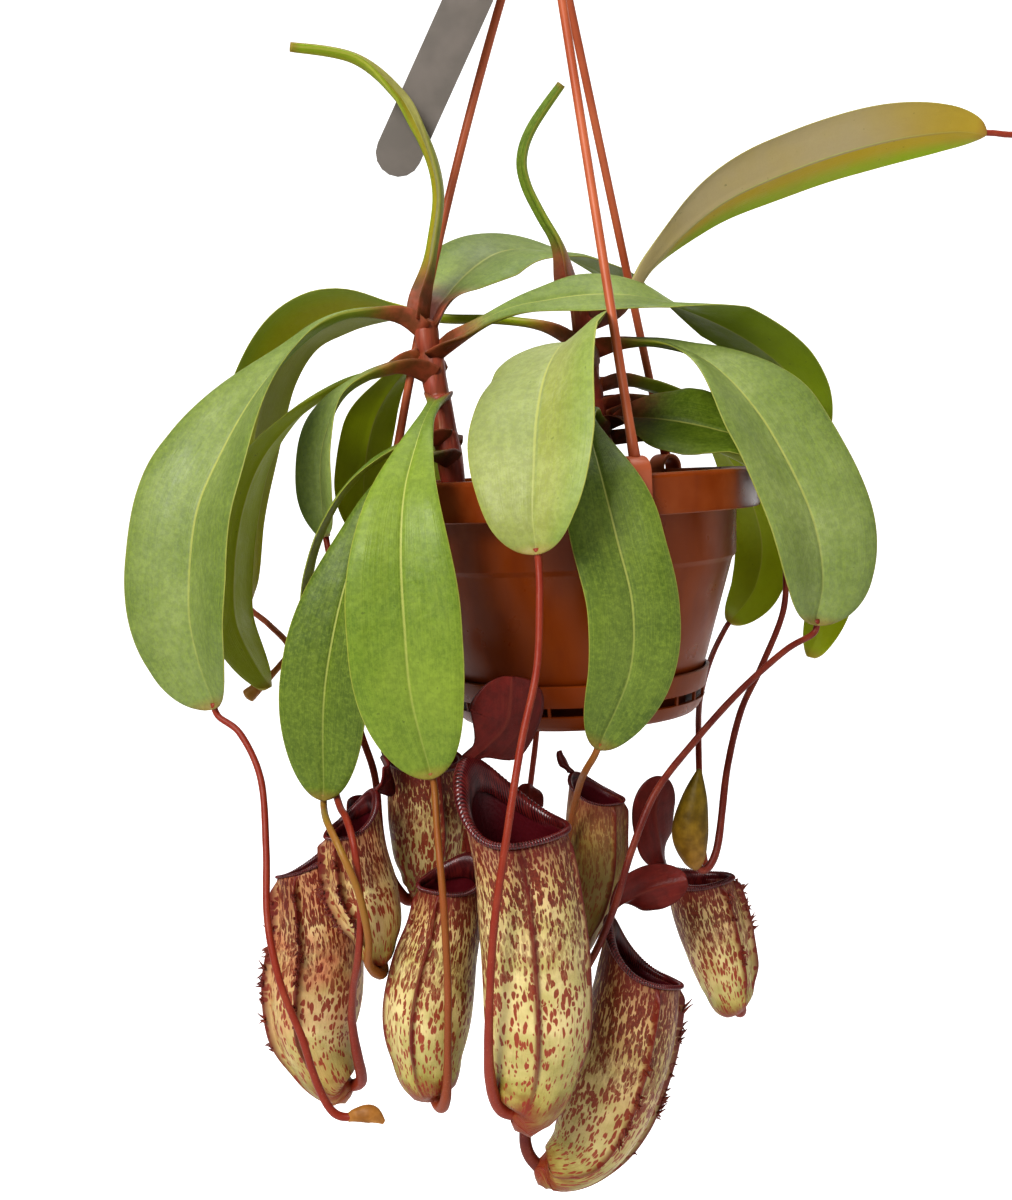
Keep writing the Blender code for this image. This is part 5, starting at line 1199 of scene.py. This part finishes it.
def make_fringe(name, pitcher, rng):
    """Short soft hairs in uneven clumps along both ridges of a winged jug."""
    if not pitcher.get("fringe"):
        return
    hairs = []
    for crest in pitcher.get("ridges", RIDGE_ANGLES):
        side_sign = math.copysign(1, crest)
        ts = np.sort(rng.uniform(0.3, 0.97, pitcher["fringe"] // 2))
        found, tangents = route_through(pitcher["route"], ts)
        for t, point, tangent in zip(ts, found, tangents):
            front, side = ring_frame(pitcher, tangent)
            tall = rng.uniform(1.2, 3.0)
            for _ in range(rng.integers(2, 5)):
                angle = math.radians(crest + rng.normal(0, 1.5))
                across = outward(front, side, angle)
                lift = slant(t) * mouth_lift(angle, pitcher) + rng.normal(0, 0.8)
                reach = point[3] + pitcher["wing"] * ridge_fade(t) - 0.7
                root = point[:3] + across * reach + tangent * lift
                lean = tangent * rng.normal(0.15, 0.6) + side * side_sign * rng.normal(0.2, 0.4)
                end = root + (across + lean) * tall * rng.uniform(0.6, 1.1)
                middle = (root + end) / 2 + tangent * rng.normal(0, 0.4)
                line, ways = route_through([root, middle, end], np.linspace(0, 1, 5))
                hairs.append(ring_mesh("hair", tube_rings(line, ways, (0.6, 0.48, 0.34, 0.2, 0.06), 6)))
    fringe = joined(name + "_fringe", hairs)
    layer = fringe.data.attributes.new("tone", "FLOAT", "POINT")
    layer.data.foreach_set("value", [0.15] * len(fringe.data.vertices))
    dress(fringe, TENDRIL_SKIN)


# Buds and tendrils

def make_bud(name, route):
    """A small closed pouch, pleated where it has dried."""
    steps, sides = 60, 32
    dry = name == "bud_dry"
    found, ways = route_through(route, np.linspace(0, 1, steps))
    rings = []
    for point, (side, up) in zip(found, cross_frame(ways, (0.3, 0.9, 0.1))):
        ring = []
        for angle in turns(sides):
            pleat = 1 + 0.07 * math.cos(3 * angle) * dry + 0.05 * math.cos(2 * angle)
            ring.append(point[:3] + point[3] * pleat * outward(side, up, angle))
        rings.append(ring)
    tones = np.ones(steps) if dry else 0.55 * (1 - np.linspace(0, 1, steps)) ** 2
    tone = np.tile(tones[:, None], (1, sides))
    dress(ring_mesh(name + "_skin", rings, {"tone": tone}), BUD_SKIN, [name])


def eased(line, start):
    """A route whose last stretch is relaxed into an even bend; its two ends stay."""
    first = int(len(line) * start)
    for _ in range(60):
        middle = (line[first - 1:-2] + line[first + 1:]) / 2
        line[first:-1] = 0.5 * line[first:-1] + 0.5 * middle
    ways = [unit(way) for way in np.gradient(line, axis=0)]
    return line, ways


def make_tendril(name, tendril):
    """A thin stalk from inside the leaf's tip to inside the pitcher's base, thicker towards its end."""
    (tip,), (onward,) = route_through(rooted(LEAVES[tendril["leaf"]]), [1.0])
    points = [tip - onward * TENDRIL_OVERLAP, tip + onward * 3.0]
    points += [np.array(point, float) for point in tendril["via"]]
    if "to" in tendril:
        goal = {**PITCHERS, **BUDS}[tendril["to"]]
        (base,), (inward,) = route_through(goal["route"] if "route" in goal else goal, [0.0])
        points += [base[:3] - inward * 2 * TENDRIL_OVERLAP, base[:3] + inward * 1.5]
    steps, sides = 170, 14
    line, ways = route_through(points, np.linspace(0, 1, steps))
    line, ways = eased(np.array(line), 0.8)
    swell = tendril.get("swell", FOOT_RADIUS_SHARE if tendril.get("to") in PITCHERS else 1.1)
    radii, tones = [], []
    for s in (k / (steps - 1) for k in range(steps)):
        tones.append(between(tendril.get("tones", (0.5, 0.5)), s))
        radius = TENDRIL_RADIUS * (0.88 + 0.12 * s + (swell - 1) * smooth((s - 0.72) / 0.28))
        radii.append(radius * (1 + 0.05 * waves(s * 30, 0.5, 3)))
    if "to" not in tendril:
        radii[-3:] = [radii[-3] * 0.85, radii[-2] * 0.6, radii[-1] * 0.2]
    tone = np.tile(np.array(tones)[:, None], (1, sides))
    rings = tube_rings(line, ways, radii, sides)
    dress(ring_mesh(name + "_stalk", rings, {"tone": tone}), TENDRIL_SKIN, [name])


# Studio

# The sky's light on the plant, and how much more it shows to the camera and less in gloss
SKY_LEVEL = 0.30
SKY_CHANGES = (("Is Camera Ray", 1.1), ("Is Glossy Ray", -0.24))
# Soft lamps round the pot's middle: place and size in metres, power in watts
LAMPS = (("key", (-0.7, -1.2, 0.9), 0.7, 34), ("fill", (1.3, -0.9, 0.1), 1.2, 5),
         ("top", (0.1, 0.1, 1.2), 0.8, 11), ("rim_light", (0.8, 0.9, 0.4), 0.8, 3))


def make_studio():
    """Pale floor well below the hanging pot, curved up behind it, and soft lights round it."""
    world = bpy.data.worlds.new("studio")
    bpy.context.scene.world = world
    world.use_nodes = True
    backdrop = world.node_tree.nodes["Background"]
    backdrop.inputs["Color"].default_value = (1.0, 1.0, 1.0, 1)
    sky = Nodes(world.node_tree)
    rays = sky.node("LightPath")
    level = SKY_LEVEL
    for ray, change in SKY_CHANGES:
        level = sky.maths("MULTIPLY_ADD", rays.outputs[ray], change, level)
    sky.tree.links.new(level, backdrop.inputs["Strength"])
    low, back, bend, half = -0.72, 2.2, 0.9, 4.0
    line = [(-4.0, low), (back - bend, low)]
    line += [(back - bend + bend * math.sin(a), low + bend - bend * math.cos(a))
             for a in np.linspace(0.1, math.pi / 2, 16)]
    line += [(back, 4.0)]
    verts = [(x, y, z) for y, z in line for x in (-half, half)]
    faces = [(k, k + 1, k + 3, k + 2) for k in range(0, len(verts) - 2, 2)]
    data = bpy.data.meshes.new("floor")
    data.from_pydata(verts, [], faces)
    data.shade_smooth()
    floor = linked("floor", data)
    paint = Paint("pale_floor", 0.9, Specular_IOR_Level=0.1, Emission_Strength=1.0)
    paint.shader.inputs["Base Color"].default_value = (0.8, 0.8, 0.8, 1)
    seen = paint.node("LightPath").outputs["Is Camera Ray"]
    glow = paint.mix(seen, (0.10, 0.10, 0.10), (0.8, 0.8, 0.8))
    floor.data.materials.append(paint.finish(Emission_Color=glow))
    middle = place((0, 0, -60))
    for name, spot, size, power in LAMPS:
        lamp = bpy.data.lights.new(name, "AREA")
        lamp.size = size
        lamp.energy = power
        item = linked(name, lamp)
        item.location = middle + Vector(spot)
        item.rotation_euler = (middle - item.location).to_track_quat("-Z", "Y").to_euler()


def make_camera():
    camera = bpy.data.cameras.new("camera")
    camera.lens = CAMERA_LENS
    camera.sensor_fit = "VERTICAL"
    camera.sensor_height = CAMERA_SENSOR
    item = linked("camera", camera)
    view = Vector((0, math.cos(CAMERA_PITCH), -math.sin(CAMERA_PITCH)))
    level = Vector((1, 0, 0))
    upright = Vector((0, math.sin(CAMERA_PITCH), math.cos(CAMERA_PITCH)))
    right = level * math.cos(CAMERA_ROLL) - upright * math.sin(CAMERA_ROLL)
    up = level * math.sin(CAMERA_ROLL) + upright * math.cos(CAMERA_ROLL)
    turn = Matrix((right, up, -view)).transposed().to_4x4()
    item.matrix_world = Matrix.Translation(place(CAMERA_PLACE)) @ turn
    bpy.context.scene.camera = item


def main():
    rng = np.random.default_rng(SEED)
    make_camera()
    make_studio()
    view = bpy.context.scene.view_settings
    view.view_transform = "Standard"
    view.look = "Medium High Contrast"
    view.exposure = EXPOSURE
    make_pot()
    make_tray()
    make_rods()
    make_soil(rng)
    make_stems()
    for seed, (name, leaf) in enumerate(LEAVES.items()):
        make_leaf(name, leaf, seed)
    for seed, (name, pitcher) in enumerate(PITCHERS.items()):
        make_jug(name, pitcher, seed)
        make_lip(name, pitcher)
        make_lid(name, pitcher)
        make_fringe(name, pitcher, rng)
    for name, route in BUDS.items():
        make_bud(name, route)
    for name, tendril in TENDRILS.items():
        make_tendril(name, tendril)
    bpy.data.objects["label"].data.materials[0] = LABEL_FACE


main()
